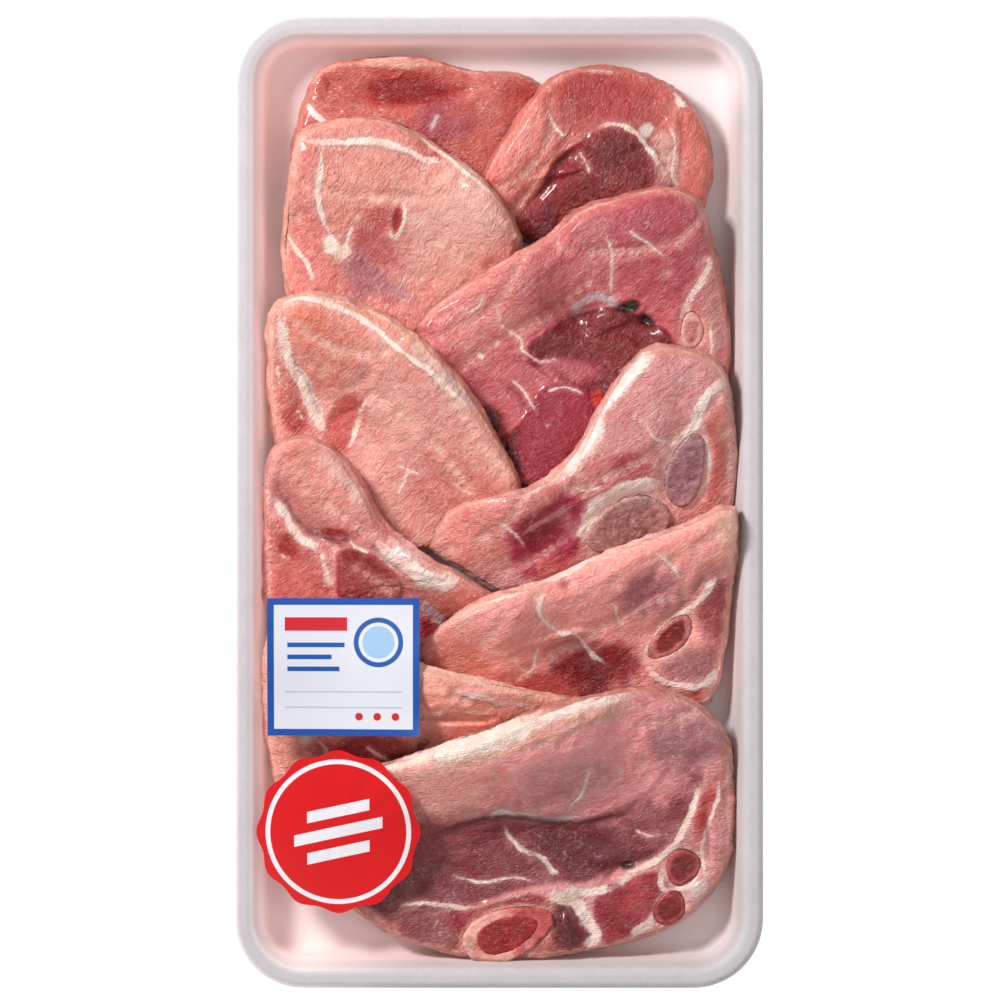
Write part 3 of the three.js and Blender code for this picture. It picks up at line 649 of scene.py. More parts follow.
# %% The chop behind the card
show_face(
    "chop_09",
    base=(246, 160, 142),
    side=(248, 180, 158),
    grain=-15,
    patches=[
        ((-10, -84), (22, 9), -16, (252, 154, 136), 0.5),
        ((-90.5, -62), (4.5, 27), 0, (230, 170, 154), 0),
        ((-82, -94.5), (8, 7), 0, (226, 146, 126), 0),
        ((-73.3, -92), (3.4, 2.4), 10, (240, 226, 216), 0.3),
        ((-50, -97), (19, 8), -6, (170, 76, 78), -0.4),
        ((-62, -108), (20, 7), -8, (176, 84, 84), 0),
        ((-80, -108), (7, 7), 0, (222, 140, 124), 0.2),
        ((-28.7, -93), (3, 1.6), 30, (110, 40, 44), -0.5),
        ((-60, -60), (26, 14), 10, (218, 140, 122), 0),
    ],
    seams=[
        (1.5, FAT_CREAM, [
            (-19, -71), (-13.7, -73.8), (-7.5, -75.4), (0, -77.3), (5.2, -77.5), (14, -79.5),
        ]),
        (1.2, FAT_WHITE, [(-70, -92), (-66, -96), (-66, -102)]),
        (1.6, FAT_CREAM, [(-84, -104), (-80, -108), (-76, -109.5), (-70, -108)]),
        (1.0, FAT_WHITE, [(-52, -94), (-46, -98), (-40, -101)]),
    ],
    bands=[
        (4.2, (237, 176, 154), [
            (-30, -62.6), (-24, -66), (-15, -67.4), (-4, -69.2), (8, -71.6), (24, -76),
        ]),
    ],
    folds=[
        (2.0, 0.6, [(-20, -72.5), (-8, -77), (4, -79.5)]),
        (2.2, 1.2, [(-66, -96), (-50, -102), (-34, -98)]),
    ],
)

# %% [markdown]
# The front chop lies on top, so it shows whole. A cream fat edge and a pink eye take up the far
# half; a long crease parts them from a dark near half, where a web of fat holds the bones.

# %% The front chop
show_face(
    "chop_10",
    base=(224, 142, 142),
    side=(212, 136, 124),
    grain=15,
    areas=[
        (3.0, (140, 66, 72), -0.9, [
            (-66, -126), (-46, -131), (-30, -129), (-16, -125), (-4, -121.5), (8, -121),
            (20, -122.6), (32, -123), (44, -120), (57, -112), (66, -102), (74, -96), (79, -103),
            (74, -122), (66, -133), (56, -139), (44, -142), (34, -147), (18, -148), (4, -151),
            (-14, -157), (-34, -158), (-52, -154),
        ]),
        (2.0, (168, 70, 70), -0.4, [
            (-52, -160), (-34, -160), (-14, -158), (4, -154), (16, -152), (22, -160), (24, -176),
            (-6, -176), (-34, -174),
        ]),
        (2.0, (152, 46, 56), 0.5, [
            (38, -149), (48, -147), (60, -143), (66, -150), (62, -160), (52, -167), (42, -171),
            (37, -164),
        ]),
        (1.5, (104, 36, 44), -0.3, [
            (22, -152), (30, -154), (35, -162), (37, -169), (31, -174), (22, -172), (20, -162),
        ]),
    ],
    patches=[
        ((-16, -110), (38, 12), 16, (242, 160, 150), 0.9),
        ((38, -98), (40, 22), -4, (252, 160, 160), 1.2),
        ((70, -90), (15, 12), 0, (196, 124, 132), 0.2),
        ((30, -108), (20, 9), 6, (220, 142, 142), 0.4),
        ((28, -133), (20, 9), -6, (112, 44, 54), 0.4),
        ((-28, -132), (22, 9), 12, (160, 80, 82), 0.3),
        ((50.2, -141), (2.6, 1.8), 0, (60, 22, 26), -1.0),
        ((54, -154), (7, 8), -32, (176, 66, 70), 0.3),
        ((86.5, -124), (4.2, 20), -4, (204, 130, 128), 0.5),
        ((75.6, -150.4), (7, 3.6), 16, (216, 188, 184), 0.3),
        ((80, -119), (4.2, 13), -20, (196, 78, 74), 0.3),
        ((73.5, -134), (5, 4), 0, (206, 120, 112), 0),
        ((91, -108), (2.6, 6), 0, (152, 92, 74), 0),
        ((-29, -165), (15, 9), -24, (150, 80, 84), 0.6),
        ((-14, -162), (6.5, 5), 0, (152, 44, 54), 0),
        ((-44, -150), (16, 9), -36, (150, 84, 84), 0.3),
        ((-60, -140), (9, 14), -30, (196, 128, 112), 0),
        ((64, -128), (10, 8), 0, (150, 76, 80), 0.2),
    ],
    seams=[
        (1.6, FAT_WHITE, [(-4, -121.5), (0.6, -119.8), (9.4, -120), (16, -121.6)]),
        (1.1, FAT_WHITE, [(26.3, -119), (32, -112), (36, -101)]),
        (1.7, FAT_WHITE, [
            (2.5, -124.6), (4, -129), (7, -132), (11.1, -135.2), (15, -136.6), (17.9, -139),
            (20, -142.4), (24, -144.6),
        ]),
        (1.2, SILVER, [(10, -121.4), (17, -122.8), (26, -122), (33, -120)]),
        (3.8, FAT_CREAM, [
            (20.2, -148), (22.5, -153), (29, -153.8), (32.4, -158), (35.2, -163.5),
            (37.4, -168.5), (32.4, -174),
        ]),
        (2.6, FAT_CREAM, [(24, -150.4), (36.7, -150.8), (44, -149.4)]),
        (2.8, FAT_CREAM, [(61, -158), (57, -163.5), (51.3, -167.4)]),
        (2.0, IVORY, [
            (77, -108), (75.4, -117), (72, -125), (69, -131), (64, -136.5), (56, -141),
            (44, -149.4),
        ]),
        (1.3, FAT_WHITE, [
            (85, -107), (84, -116), (81, -125), (78.6, -132.3), (78.8, -141), (82.2, -146.5),
        ]),
        (1.8, FAT_CREAM, [(64, -140), (62.5, -147), (66, -150.5), (74, -149), (79, -146)]),
        (1.4, FAT_WHITE, [
            (-39.4, -158), (-37, -155.8), (-31.7, -155.4), (-25.2, -155.4), (-14.4, -157),
            (-9, -156),
        ]),
        (1.0, FAT_WHITE, [(-20, -144), (-6, -147), (6, -145), (16, -147)]),
        (0.9, FAT_WHITE, [(52, -126), (58, -129), (64, -128)]),
    ],
    bands=[
        (5.0, FAT_CREAM, [(-60, -107), (-48, -102.6), (-35, -98.4), (-24, -95.4)]),
        (9.0, FAT_CREAM, [(-26, -96.6), (-14, -93), (0, -89.4), (12, -84.6)]),
        (6.0, FAT_CREAM, [(8, -86), (20, -80.6), (34, -76.4), (48, -73.6)]),
        (5.0, (226, 160, 142), [(-46, -108), (-26, -103), (-6, -98), (12, -92.4), (30, -85), (50, -79)]),
        (3.0, (206, 134, 118), [(56, -73), (72, -76.5), (85, -88), (90, -104)]),
        (3.4, (206, 136, 116), [(-71, -127), (-67, -138), (-60, -151), (-46, -163)]),
        # Painted shade: a dark band along the near edge.
        (3.0, (104, 52, 48), [(-24, -173.6), (-12, -176.6), (2, -178.4), (16, -177), (26, -175)]),
    ],
    folds=[
        (2.2, 1.5, [
            (-24, -128), (-9, -122.8), (0.6, -121.4), (9.4, -122), (20.2, -124), (30.6, -124.6),
            (42.5, -122), (56, -118.6),
        ]),
        (2.0, 1.2, [(3, -125), (8, -131.6), (15, -138), (22, -145.6)]),
        (2.2, 1.6, [(40, -147), (46, -141.6), (56, -137.6), (64, -137)]),
        (2.0, 1.4, [(26, -156), (22, -162), (24, -170)]),
        (1.8, 1.0, [(-38, -160), (-26, -158), (-12, -160)]),
        (1.6, 1.2, [(80, -118), (80.6, -130), (80, -140)]),
    ],
)

# %% [markdown]
# ## Making a chop's mesh
# A raw slice is soft: its faces are smooth and its cut edge rounds over. Sculpting ten chops by hand
# would lose the outlines that the CAD solids already have. So each chop starts as a copy of its
# solid, merged because a CAD mesh is loose triangles, and a voxel remesh makes it even small quads.
# Then it is smoothed in pairs of steps, one in and one out, which don't shrink it. The front chop is
# the largest, so its voxels are a little larger, to keep it under 200,000 triangles.

# %% Copies of CAD nodes
VOXEL = 0.00062
FRONT_VOXEL = 0.00069
BONE_VOXEL = 0.0005
SAME_PLACE = 1e-5


def placed(mesh, name):
    """A scene object for a mesh, at the origin."""
    piece = bpy.data.objects.new(name, mesh)
    bpy.context.scene.collection.objects.link(piece)
    return piece


def merged_copy(node_name, new_name):
    """A copy of a CAD node's mesh with its loose triangles merged."""
    mesh = NODES[node_name].data.copy()
    mesh.materials.clear()
    work = bmesh.new()
    work.from_mesh(mesh)
    bmesh.ops.remove_doubles(work, verts=work.verts, dist=SAME_PLACE)
    work.to_mesh(mesh)
    work.free()
    mesh.name = new_name
    return placed(mesh, new_name)


def remake(piece, voxel):
    """Even quads of one size over the whole piece."""
    modifier = piece.modifiers.new("even", "REMESH")
    modifier.mode = "VOXEL"
    modifier.voxel_size = voxel
    bpy.context.view_layer.objects.active = piece
    bpy.ops.object.modifier_apply(modifier=modifier.name)


# %% Reading and writing vertices as arrays
def read_points(mesh):
    points = np.empty(len(mesh.vertices) * 3)
    mesh.vertices.foreach_get("co", points)
    return points.reshape(-1, 3)


def read_normals(mesh):
    mesh.update()
    normals = np.empty(len(mesh.vertices) * 3)
    mesh.vertices.foreach_get("normal", normals)
    return normals.reshape(-1, 3)


def read_edges(mesh):
    edges = np.empty(len(mesh.edges) * 2, int)
    mesh.edges.foreach_get("vertices", edges)
    return edges.reshape(-1, 2)


def write_points(mesh, points):
    mesh.vertices.foreach_set("co", points.ravel())
    mesh.update()


def shade_smooth(mesh):
    mesh.polygons.foreach_set("use_smooth", np.ones(len(mesh.polygons), bool))
    mesh.update()


# %% Smoothing that doesn't shrink
SMOOTH_ROUNDS = 20
SMOOTH_IN = 0.55
SMOOTH_OUT = 0.57


def neighbour_counts(edges, number):
    return np.maximum(np.bincount(edges.ravel(), minlength=number), 1)


def neighbour_mean(values, edges, count):
    """The mean of each vertex's neighbours, column by column."""
    a, b = edges[:, 0], edges[:, 1]
    out = np.empty_like(values)
    for i in range(values.shape[1]):
        column = values[:, i]
        total = np.bincount(a, column[b], len(values)) + np.bincount(b, column[a], len(values))
        out[:, i] = total / count
    return out


def smooth(points, edges, rounds):
    """Evens the surface and gives back what plain smoothing would shrink."""
    count = neighbour_counts(edges, len(points))
    for _ in range(rounds):
        points = points + SMOOTH_IN * (neighbour_mean(points, edges, count) - points)
        points = points - SMOOTH_OUT * (neighbour_mean(points, edges, count) - points)
    return points


def spread(values, fixed, edges, rounds):
    """Lets a value spread over the mesh from the vertices where it is fixed."""
    count = neighbour_counts(edges, len(values))
    now = values.copy()
    for _ in range(rounds):
        now = neighbour_mean(now[:, None], edges, count)[:, 0]
        now[fixed] = values[fixed]
    return now


# %% [markdown]
# ## Limp meat settles
# The solids keep a small gap between chops, and where one bridges two others it would show light
# underneath. Limp meat hangs down into such places. A cloth simulation would be slow and never twice
# the same, so rays go down from each underside vertex, and the vertex follows until it nearly rests
# on what lies below. The side between the faces is drawn along.

# %% Letting an underside down
SETTLE_GAP = 0.0003
SETTLE_LIMIT = 0.009
SETTLE_SPREAD = 14
FACES_DOWN = -0.35
FACES_UP = 0.6
RAY_START = 0.00005
DOWN = Vector((0, 0, -1))
UP = Vector((0, 0, 1))


def tree_of(names):
    """One search tree over the CAD meshes of some nodes."""
    verts, faces = [], []
    for name in names:
        mesh = NODES[name].data
        start = len(verts)
        verts.extend(v.co.copy() for v in mesh.vertices)
        faces.extend(tuple(start + i for i in p.vertices) for p in mesh.polygons)
    return BVHTree.FromPolygons(verts, faces)


def clear_run(tree, points, way, far):
    """How far each point can go one way before it meets the tree."""
    run = np.full(len(points), far)
    for i, point in enumerate(points):
        hit = tree.ray_cast(Vector(point), way, far)
        if hit[0] is not None:
            run[i] = hit[3]
    return run


def settle(points, normals, edges, below):
    """Lets the underside down onto what lies beneath, and the side after it."""
    under = normals[:, 2] < FACES_DOWN
    drop = np.zeros(len(points))
    start = points[under] - np.array([0, 0, RAY_START])
    run = clear_run(below, start, DOWN, SETTLE_LIMIT)
    run[run >= SETTLE_LIMIT] = 0.0
    drop[under] = np.maximum(run - SETTLE_GAP, 0.0)
    fixed = under | (normals[:, 2] > FACES_UP)
    drop = spread(drop, fixed, edges, SETTLE_SPREAD)
    moved = points.copy()
    moved[:, 2] -= drop
    return moved


# %% [markdown]
# ## Where a muscle ends
# In a cut face each muscle has its own tone and bulges or sinks a little. An image texture could
# carry that, but then nothing could be changed by a value. Here an oval or an outline gives each
# vertex a share from 0 to 1, with a ragged soft edge, and both the colour and the height use it.

# %% Shares of ovals and outlined areas
OVAL_EDGE = (0.5, 1.35)
AREA_REACH = 12.0
AREA_RAGGED = 2.0


def oval_share(xy, patch, ragged):
    """1 in the middle of a soft oval, 0 outside it."""
    (cx, cy), (rx, ry), turn, _, _ = patch
    a = math.radians(turn)
    x, y = xy[:, 0] - cx, xy[:, 1] - cy
    along = (x * math.cos(a) + y * math.sin(a)) / rx
    across = (-x * math.sin(a) + y * math.cos(a)) / ry
    reach = np.hypot(along, across) + ragged
    return 1.0 - soft_step(*OVAL_EDGE, reach)


def area_share(xy, area, ragged):
    """1 inside an outlined muscle, 0 outside, with a soft edge."""
    softness, _, _, points = area
    line = curve(list(points) + [points[0]])
    distance, _ = nearest(xy, line, AREA_REACH)
    inside = np.zeros(len(xy), bool)
    for (x0, y0), (x1, y1) in zip(line[:-1], line[1:]):
        crosses = (y0 > xy[:, 1]) != (y1 > xy[:, 1])
        cut = (x1 - x0) * (xy[:, 1] - y0) / (y1 - y0 + 1e-9) + x0
        inside ^= crosses & (xy[:, 0] < cut)
    depth = np.where(inside, distance, -distance) + AREA_RAGGED * ragged
    return soft_step(-0.5 * softness, 0.5 * softness, depth)


# %% The rise and fall of a face
SEAM_SINK = 0.1
BAND_RISE = 0.3


def relief(face, xy, ragged):
    """How far the face rises or falls, in millimetres."""
    rise = np.zeros(len(xy))
    for area in face["areas"]:
        rise += area[2] * area_share(xy, area, ragged)
    for patch in face["patches"]:
        rise += patch[4] * oval_share(xy, patch, ragged)
    for width, _, points in face["seams"]:
        distance, _ = nearest(xy, curve(points), 2 * width + 2)
        rise -= SEAM_SINK * np.exp(-((distance / (0.8 * width)) ** 2))
    for width, _, points in face["bands"]:
        distance, _ = nearest(xy, curve(points), 2 * width + 2)
        rise += BAND_RISE * np.exp(-((distance / width) ** 2))
    for width, depth, points in face["folds"]:
        distance, along = nearest(xy, curve(points), 3 * width + 2)
        ends = tapered(along, 0.0, 0.15)
        rise -= depth * (0.3 + 0.7 * ends) * np.exp(-((distance / width) ** 2))
    return rise


# %% [markdown]
# ## Painting a chop
# Every vertex gets a colour from the muscles, seams and edges near it. The paint is stored as
# attributes on the mesh, so the material can read it and add the fibres that are finer than the
# vertices. Shares of fat, silverskin, painted crease shade and wetness go into a second attribute,
# as they change more than the colour, and a third holds the place along the meat's grain.

# %% Muscles and blotches
BLOTCHES = ((11.0, 0.55, 21), (4.5, 0.35, 22), (2.0, 0.2, 23))
PALE_BLOTCH = (250, 206, 194)
PALE_SHARE = 0.26
RED_BLOTCH = (0.93, 0.72, 0.72)
RED_SHARE = 0.5


def toward(colour, tone, share):
    """Each vertex's colour moved towards a tone, by its own share."""
    share = share[:, None]
    return colour * (1 - share) + np.array(tone, float) * share


def paint_muscles(face, places, xy, ragged):
    """The face's own tone, its areas and ovals, and soft paler and redder blotches over all."""
    colour = np.tile(np.array(face["base"], float), (len(places), 1))
    for area in face["areas"]:
        colour = toward(colour, area[1], area_share(xy, area, 0.5 * ragged))
    for patch in face["patches"]:
        colour = toward(colour, patch[3], oval_share(xy, patch, ragged))
    (size_a, share_a, seed_a), (size_b, share_b, seed_b), (size_c, share_c, seed_c) = BLOTCHES
    tone = share_a * lumps(places, size_a, seed_a) + share_b * lumps(places, size_b, seed_b)
    tone = tone + share_c * lumps(places, size_c, seed_c)
    paler = 0.45 * colour + 0.55 * np.array(PALE_BLOTCH, float)
    colour = toward(colour, paler, PALE_SHARE * np.clip(tone, 0, 1))
    redder = colour * np.array(RED_BLOTCH)
    return toward(colour, redder, RED_SHARE * np.clip(-tone, 0, 1))


# %% Fat, silverskin and painted shade in creases
SEAM_HALO = (232, 180, 170)
HALO_SHARE = 0.42


def paint_bands(face, xy, ragged, colour):
    """Broad edges: the share of cream fat, and the colour with the bands in it."""
    fat = np.zeros(len(xy))
    for width, tone, points in face["bands"]:
        distance, along = nearest(xy, curve(points), 2 * width + 2)
        ends = tapered(along, 0.0, 0.12)
        reach = distance / (0.5 * width)
        if tone == FAT_CREAM:
            fat = np.maximum(fat, (0.55 + 0.45 * ends) * np.clip(1.12 - 0.5 * reach, 0, 1))
        share = (0.4 + 0.6 * ends) * (1.0 - soft_step(0.5, 1.6, reach + 2 * ragged))
        colour = toward(colour, tone, share)
    return fat, colour


def paint_seams(face, places, xy, fat, colour):
    """Thin lines that swell and fade: fat, silverskin, and a paler halo beside them."""
    film = np.zeros(len(xy))
    thin = 1.0 + 0.35 * lumps(places, 2.6, 17) + 0.2 * lumps(places, 6.0, 18)
    fade = 0.84 + 0.3 * lumps(places, 7.5, 19)
    for width, tone, points in face["seams"]:
        distance, along = nearest(xy, curve(points), 2 * width + 2)
        ends = tapered(along, -0.05, 0.2)
        core = np.clip(1.5 - 1.4 * distance / (width * thin), 0, 1)
        line = (0.3 + 0.7 * ends) * np.clip(fade, 0.35, 1) * core
        line *= min(0.4 + 0.36 * width, 1.0)
        if tone == SILVER:
            film = np.maximum(film, line)
        else:
            fat = np.maximum(fat, line)
        halo = HALO_SHARE * ends * np.exp(-((distance / (1.1 * width + 0.4)) ** 2))
        colour = toward(colour, SEAM_HALO, halo)
    return fat, film, colour


def crease_shade_share(face, xy):
    """How much painted shade each vertex gets from lying deep in a crease."""
    crease_shade = np.zeros(len(xy))
    for width, depth, points in face["folds"]:
        distance, along = nearest(xy, curve(points), 2 * width + 2)
        ends = tapered(along, 0.0, 0.2)
        dark = ends * min(depth / 1.6, 1.0) * np.exp(-((distance / (0.45 * width)) ** 2))
        crease_shade = np.maximum(crease_shade, dark)
    return crease_shade


# %% The rim, the cut side and the grain
# A painted highlight along the rim, and painted shade on what faces down.
EDGE_HIGHLIGHT_INSET = 0.9
EDGE_HIGHLIGHT_TONE = (248, 210, 194)
RIM_SHARE = 0.5
RIM_REACH = (0.5, 4.5)
UNDER_SHADE = 0.25
FACE_UP = (0.35, 0.75)


def paint_edges(face, places, normals, inset, ragged, colour):
    """The paler rim, a painted highlight along it, the cut side with its streaks, and painted shade
    below.
    """
    colour = toward(colour, face["side"], RIM_SHARE * (1.0 - soft_step(*RIM_REACH, inset + 8 * ragged)))
    # Painted highlight: a pale moist line just inside the edge, where the wet rounded edge catches
    # light.
    line = np.exp(-(((inset - EDGE_HIGHLIGHT_INSET) / (0.6 * EDGE_HIGHLIGHT_INSET)) ** 2))
    colour = toward(colour, EDGE_HIGHLIGHT_TONE, line * np.clip(0.35 + 0.5 * lumps(places, 8.0, 45), 0, 0.6))
    facing = soft_step(*FACE_UP, normals[:, 2])[:, None]
    streak = 1.0 + 0.10 * lumps(places * np.array([1, 1, 0.3]), 3.0, 31)
    side = np.array(face["side"], float) * streak[:, None]
    colour = side * (1 - facing) + colour * facing
    # Painted shade: what faces down is darkened.
    below = soft_step(-0.2, -0.7, normals[:, 2])
    return colour * (1 - UNDER_SHADE * below)[:, None]


def grain_places(face, places, bent):
    """The place along and across the fibres, and in height."""
    turn = math.radians(face["grain"])
    along = bent[:, 0] * math.cos(turn) + bent[:, 1] * math.sin(turn)
    across = -bent[:, 0] * math.sin(turn) + bent[:, 1] * math.cos(turn)
    return np.stack([along, across, places[:, 2]], axis=1)


def paint(face, places, normals, inset):
    """Vertex colours, marks (fat, film, painted crease shade, wet) and grain places."""
    flat = places[:, :2]
    ragged = 0.22 * lumps(places, 9.0, 4) + 0.16 * lumps(places, 4.5, 3) + 0.10 * lumps(places, 2.0, 5)
    wobble = np.stack([lumps(places, 6.0, 11), lumps(places, 6.0, 12)], axis=1)
    fine = np.stack([lumps(places, 1.8, 13), lumps(places, 1.8, 14)], axis=1)
    xy = flat + 0.7 * wobble + 0.25 * fine
    colour = paint_muscles(face, places, xy, ragged)
    fat, colour = paint_bands(face, xy, ragged, colour)
    fat, film, colour = paint_seams(face, places, xy, fat, colour)
    crease_shade = crease_shade_share(face, xy)
    colour = paint_edges(face, places, normals, inset, ragged, colour)
    facing = soft_step(*FACE_UP, normals[:, 2])
    wet = np.clip(0.5 + 0.5 * lumps(places, 9.0, 41) + 0.3 * lumps(places, 3.5, 42), 0, 1)
    marks = np.stack([fat * (0.35 + 0.65 * facing), film * facing, crease_shade * facing, wet], axis=1)
    return np.clip(colour, 0, 255), marks, grain_places(face, places, flat + 0.9 * wobble)


# %% Storing the paint
SHEEN = 0.03  # what a wet surface adds to its own colour
DARKEST = 0.004


def store(mesh, name, kind, values):
    layer = mesh.attributes.new(name, kind, "POINT")
    key = "color" if kind == "FLOAT_COLOR" else "vector"
    layer.data.foreach_set(key, np.ascontiguousarray(values, float).ravel())


def store_paint(mesh, colour, marks, grain):
    """Three attributes, which the material reads by name."""
    full = np.ones((len(colour), 4))
    full[:, :3] = np.maximum(linear(colour) - SHEEN, DARKEST)
    store(mesh, "paint", "FLOAT_COLOR", full)
    store(mesh, "marks", "FLOAT_COLOR", marks)
    store(mesh, "grain", "FLOAT_VECTOR", grain * MM)


# %% [markdown]
# ## The ten chops
# The order in which the chops were laid decides what each one rests on and what covers it. A face
# swells only where nothing lies close above, so no chop pushes through the next. Its edge rolls
# down, because a blade drags the meat a little, and its side is pushed in and out by less than a
# millimetre so that the outline isn't a clean curve.

# %% How a chop's surface moves
CLEAR_ABOVE = (0.001, 0.004)
CLEAR_LIMIT = 0.01
EDGE_ROLL = 0.9
EDGE_ROLL_REACH = 5.0
EDGE_WOBBLE = 0.001
FACE_WAVES = ((26.0, 1.6), (12.0, 0.75), (5.3, 0.2), (2.3, 0.12))
TOP_GAP = 0.0001
SIDE_SAMPLE = 7


def edge_inset(places, normals):
    """How far in from the chop's own edge each vertex lies, seen from above."""
    side = np.nonzero(np.abs(normals[:, 2]) < 0.45)[0][::SIDE_SAMPLE]
    tree = KDTree(len(side))
    for index in side:
        tree.insert((places[index, 0], places[index, 1], 0.0), int(index))
    tree.balance()
    inset = np.zeros(len(places))
    top = np.nonzero(normals[:, 2] > 0.2)[0]
    for index in top:
        inset[index] = tree.find((places[index, 0], places[index, 1], 0.0))[2]
    return inset


def clearance(points, normals, order):
    """1 where nothing lies close above the face, 0 where something does."""
    clear = np.ones(len(points))
    if order + 1 < len(CHOP_NAMES):
        above = tree_of(CHOP_NAMES[order + 1 :] + ["label_card", "label_sticker"])
        up = normals[:, 2] > 0.2
        start = points[up] + np.array([0, 0, 0.0001])
        clear[up] = soft_step(*CLEAR_ABOVE, clear_run(above, start, UP, CLEAR_LIMIT))
    return clear


def swollen(name, order, points, normals, inset):
    """The chop's points with its relief, waves, rolled edge and uneven side."""
    places = points / MM
    facing = soft_step(*FACE_UP, normals[:, 2])
    rise = relief(FACES[name], places[:, :2], 0.16 * lumps(places, 5.0, 3))
    rise += sum(height * lumps(places, size, 70 + order + int(size)) for size, height in FACE_WAVES)
    rise -= EDGE_ROLL * (1.0 - soft_step(0.0, EDGE_ROLL_REACH, inset)) ** 1.5
    moved = points.copy()
    moved[:, 2] += rise * facing * clearance(points, normals, order) * MM
    side = (1 - facing) * soft_step(-0.7, -0.2, normals[:, 2])
    wave = 0.7 * lumps(places, 9.0, 51 + order) + 0.5 * lumps(places, 3.2, 61 + order)
    push = EDGE_WOBBLE * (wave - 0.4) * side
    moved += normals * push[:, None]
    moved[:, 2] = np.minimum(moved[:, 2], TOP_LEVEL - TOP_GAP)
    return moved


# %% Making the chops
def make_chop(name, order):
    piece = merged_copy(name, f"{name}_meat")
    remake(piece, FRONT_VOXEL if name == CHOP_NAMES[-1] else VOXEL)
    mesh = piece.data
    edges = read_edges(mesh)
    points = smooth(read_points(mesh), edges, SMOOTH_ROUNDS)
    write_points(mesh, points)
    below = tree_of([TRAY_NODE] + CHOP_NAMES[:order])
    points = settle(points, read_normals(mesh), edges, below)
    write_points(mesh, points)
    normals = read_normals(mesh)
    places = points / MM
    inset = edge_inset(places, normals)
    write_points(mesh, swollen(name, order, points, normals, inset))
    store_paint(mesh, *paint(FACES[name], places, normals, inset))
    shade_smooth(mesh)
    return piece


chops = {name: make_chop(name, order) for order, name in enumerate(CHOP_NAMES)}
print("chop triangles", {name: 2 * len(piece.data.polygons) for name, piece in chops.items()})

# %% [markdown]
# ## Bones, gristle and marrow
# A sawn bone shows a pale rim round a porous pink or dark red middle. It could be painted on the
# meat, but a bone is a part of its own, so its own solid fills its pocket and stands a hair proud,
# as bone doesn't shrink back. Its oval gives each vertex its share of rim and middle.

# %% The cut bones' values
BONES = {
    "bone_04": {
        "at": (74.5, 65.5), "size": (13, 7.5), "turn": 80,
        "rim": (216, 156, 146), "core": (196, 116, 112), "rim_width": 0.3,
    },
    "gristle_06": {
        "at": (72, 11.5), "size": (26, 13.5), "turn": 72,
        "rim": (176, 124, 130), "core": (160, 108, 118), "rim_width": 0.2,
    },
    "bone_06": {
        "at": (50, -9), "size": (31, 19), "turn": 24,
        "rim": (196, 146, 140), "core": (178, 122, 118), "rim_width": 0.16,
    },
    "bone_08": {
        "at": (66.5, -52.5), "size": (20, 9.5), "turn": 48,
        "rim": (190, 112, 106), "core": (140, 36, 40), "rim_width": 0.24,
    },
    "bone_10": {
        "at": (3, -167), "size": (37, 17.5), "turn": 24,
        "rim": (230, 164, 148), "far": (200, 92, 90), "core": (198, 96, 90), "rim_width": 0.3,
    },
    "marrow_10": {
        "at": (3, -167), "size": (25, 12), "turn": 24,
        "rim": (162, 8, 18), "core": (158, 0, 6), "rim_width": 0.3,
    },
    "rib_10a": {
        "at": (71, -141), "size": (14, 11), "turn": 50,
        "rim": (176, 84, 86), "core": (128, 34, 42), "rim_width": 0.2,
    },
    "rib_10b": {
        "at": (66, -157), "size": (13, 10), "turn": 40,
        "rim": (168, 76, 80), "core": (134, 38, 46), "rim_width": 0.2,
    },
}
BONE_GROW = 0.00075
BONE_PROUD = 0.0001
BONE_ROUNDS = 8
BONE_WET = 0.15
print("cut bones", len(BONES))

# %% Making the bones
def bone_ovals(spec, places):
    """How far along its oval each vertex lies, and how far out, from 0 to 1."""
    a = math.radians(spec["turn"])
    x, y = places[:, 0] - spec["at"][0], places[:, 1] - spec["at"][1]
    along = (x * math.cos(a) + y * math.sin(a)) / (spec["size"][0] / 2)
    across = (-x * math.sin(a) + y * math.cos(a)) / (spec["size"][1] / 2)
    out = np.hypot(along, across) + 0.08 * lumps(places, 3.0, 91) + 0.05 * lumps(places, 1.4, 92)
    return along, out


def bone_colour(spec, places, along, core):
    """A rim and a middle, mottled, with one end of the rim redder on some bones."""
    mottled = 1.0 + 0.10 * lumps(places, 2.6, 95) + 0.08 * lumps(places, 1.2, 96)
    rim = np.array(spec["rim"], float)
    middle = np.array(spec["core"], float)
    if "far" in spec:
        rim = toward(rim, spec["far"], soft_step(-0.2, 0.5, along + 0.3 * lumps(places, 4.0, 98)))
    colour = rim * (1 - core[:, None]) + middle * core[:, None]
    return np.clip(colour * mottled[:, None], 0, 255)


def make_bone(name):
    spec = BONES[name]
    piece = merged_copy(name, f"{name}_cut")
    remake(piece, BONE_VOXEL)
    mesh = piece.data
    points = smooth(read_points(mesh), read_edges(mesh), BONE_ROUNDS)
    write_points(mesh, points)
    normals = read_normals(mesh)
    places = points / MM
    along, out = bone_ovals(spec, places)
    core = 1.0 - soft_step(1.0 - 1.5 * spec["rim_width"], 1.0 - 0.7 * spec["rim_width"], out)
    facing = soft_step(0.3, 0.7, normals[:, 2])
    moved = points + normals * (BONE_GROW * (1.0 - np.abs(normals[:, 2])))[:, None]
    rough = 0.25 * lumps(places, 2.0, 93) + 0.2 * lumps(places, 1.1, 94)
    moved[:, 2] += facing * (BONE_PROUD + (rough * core - 0.15 * core) * MM)
    moved[:, 2] = np.minimum(moved[:, 2], TOP_LEVEL - TOP_GAP)
    write_points(mesh, moved)
    none = np.zeros(len(points))
    pores = core * soft_step(0.25, 0.7, lumps(places, 1.5, 97))
    # The pores go into the crease channel, so they darken as painted shade.
    marks = np.stack([none, none, 0.5 * pores, np.full(len(points), BONE_WET)], axis=1)
    store_paint(mesh, bone_colour(spec, places, along, core), marks, places)
    shade_smooth(mesh)
    return piece


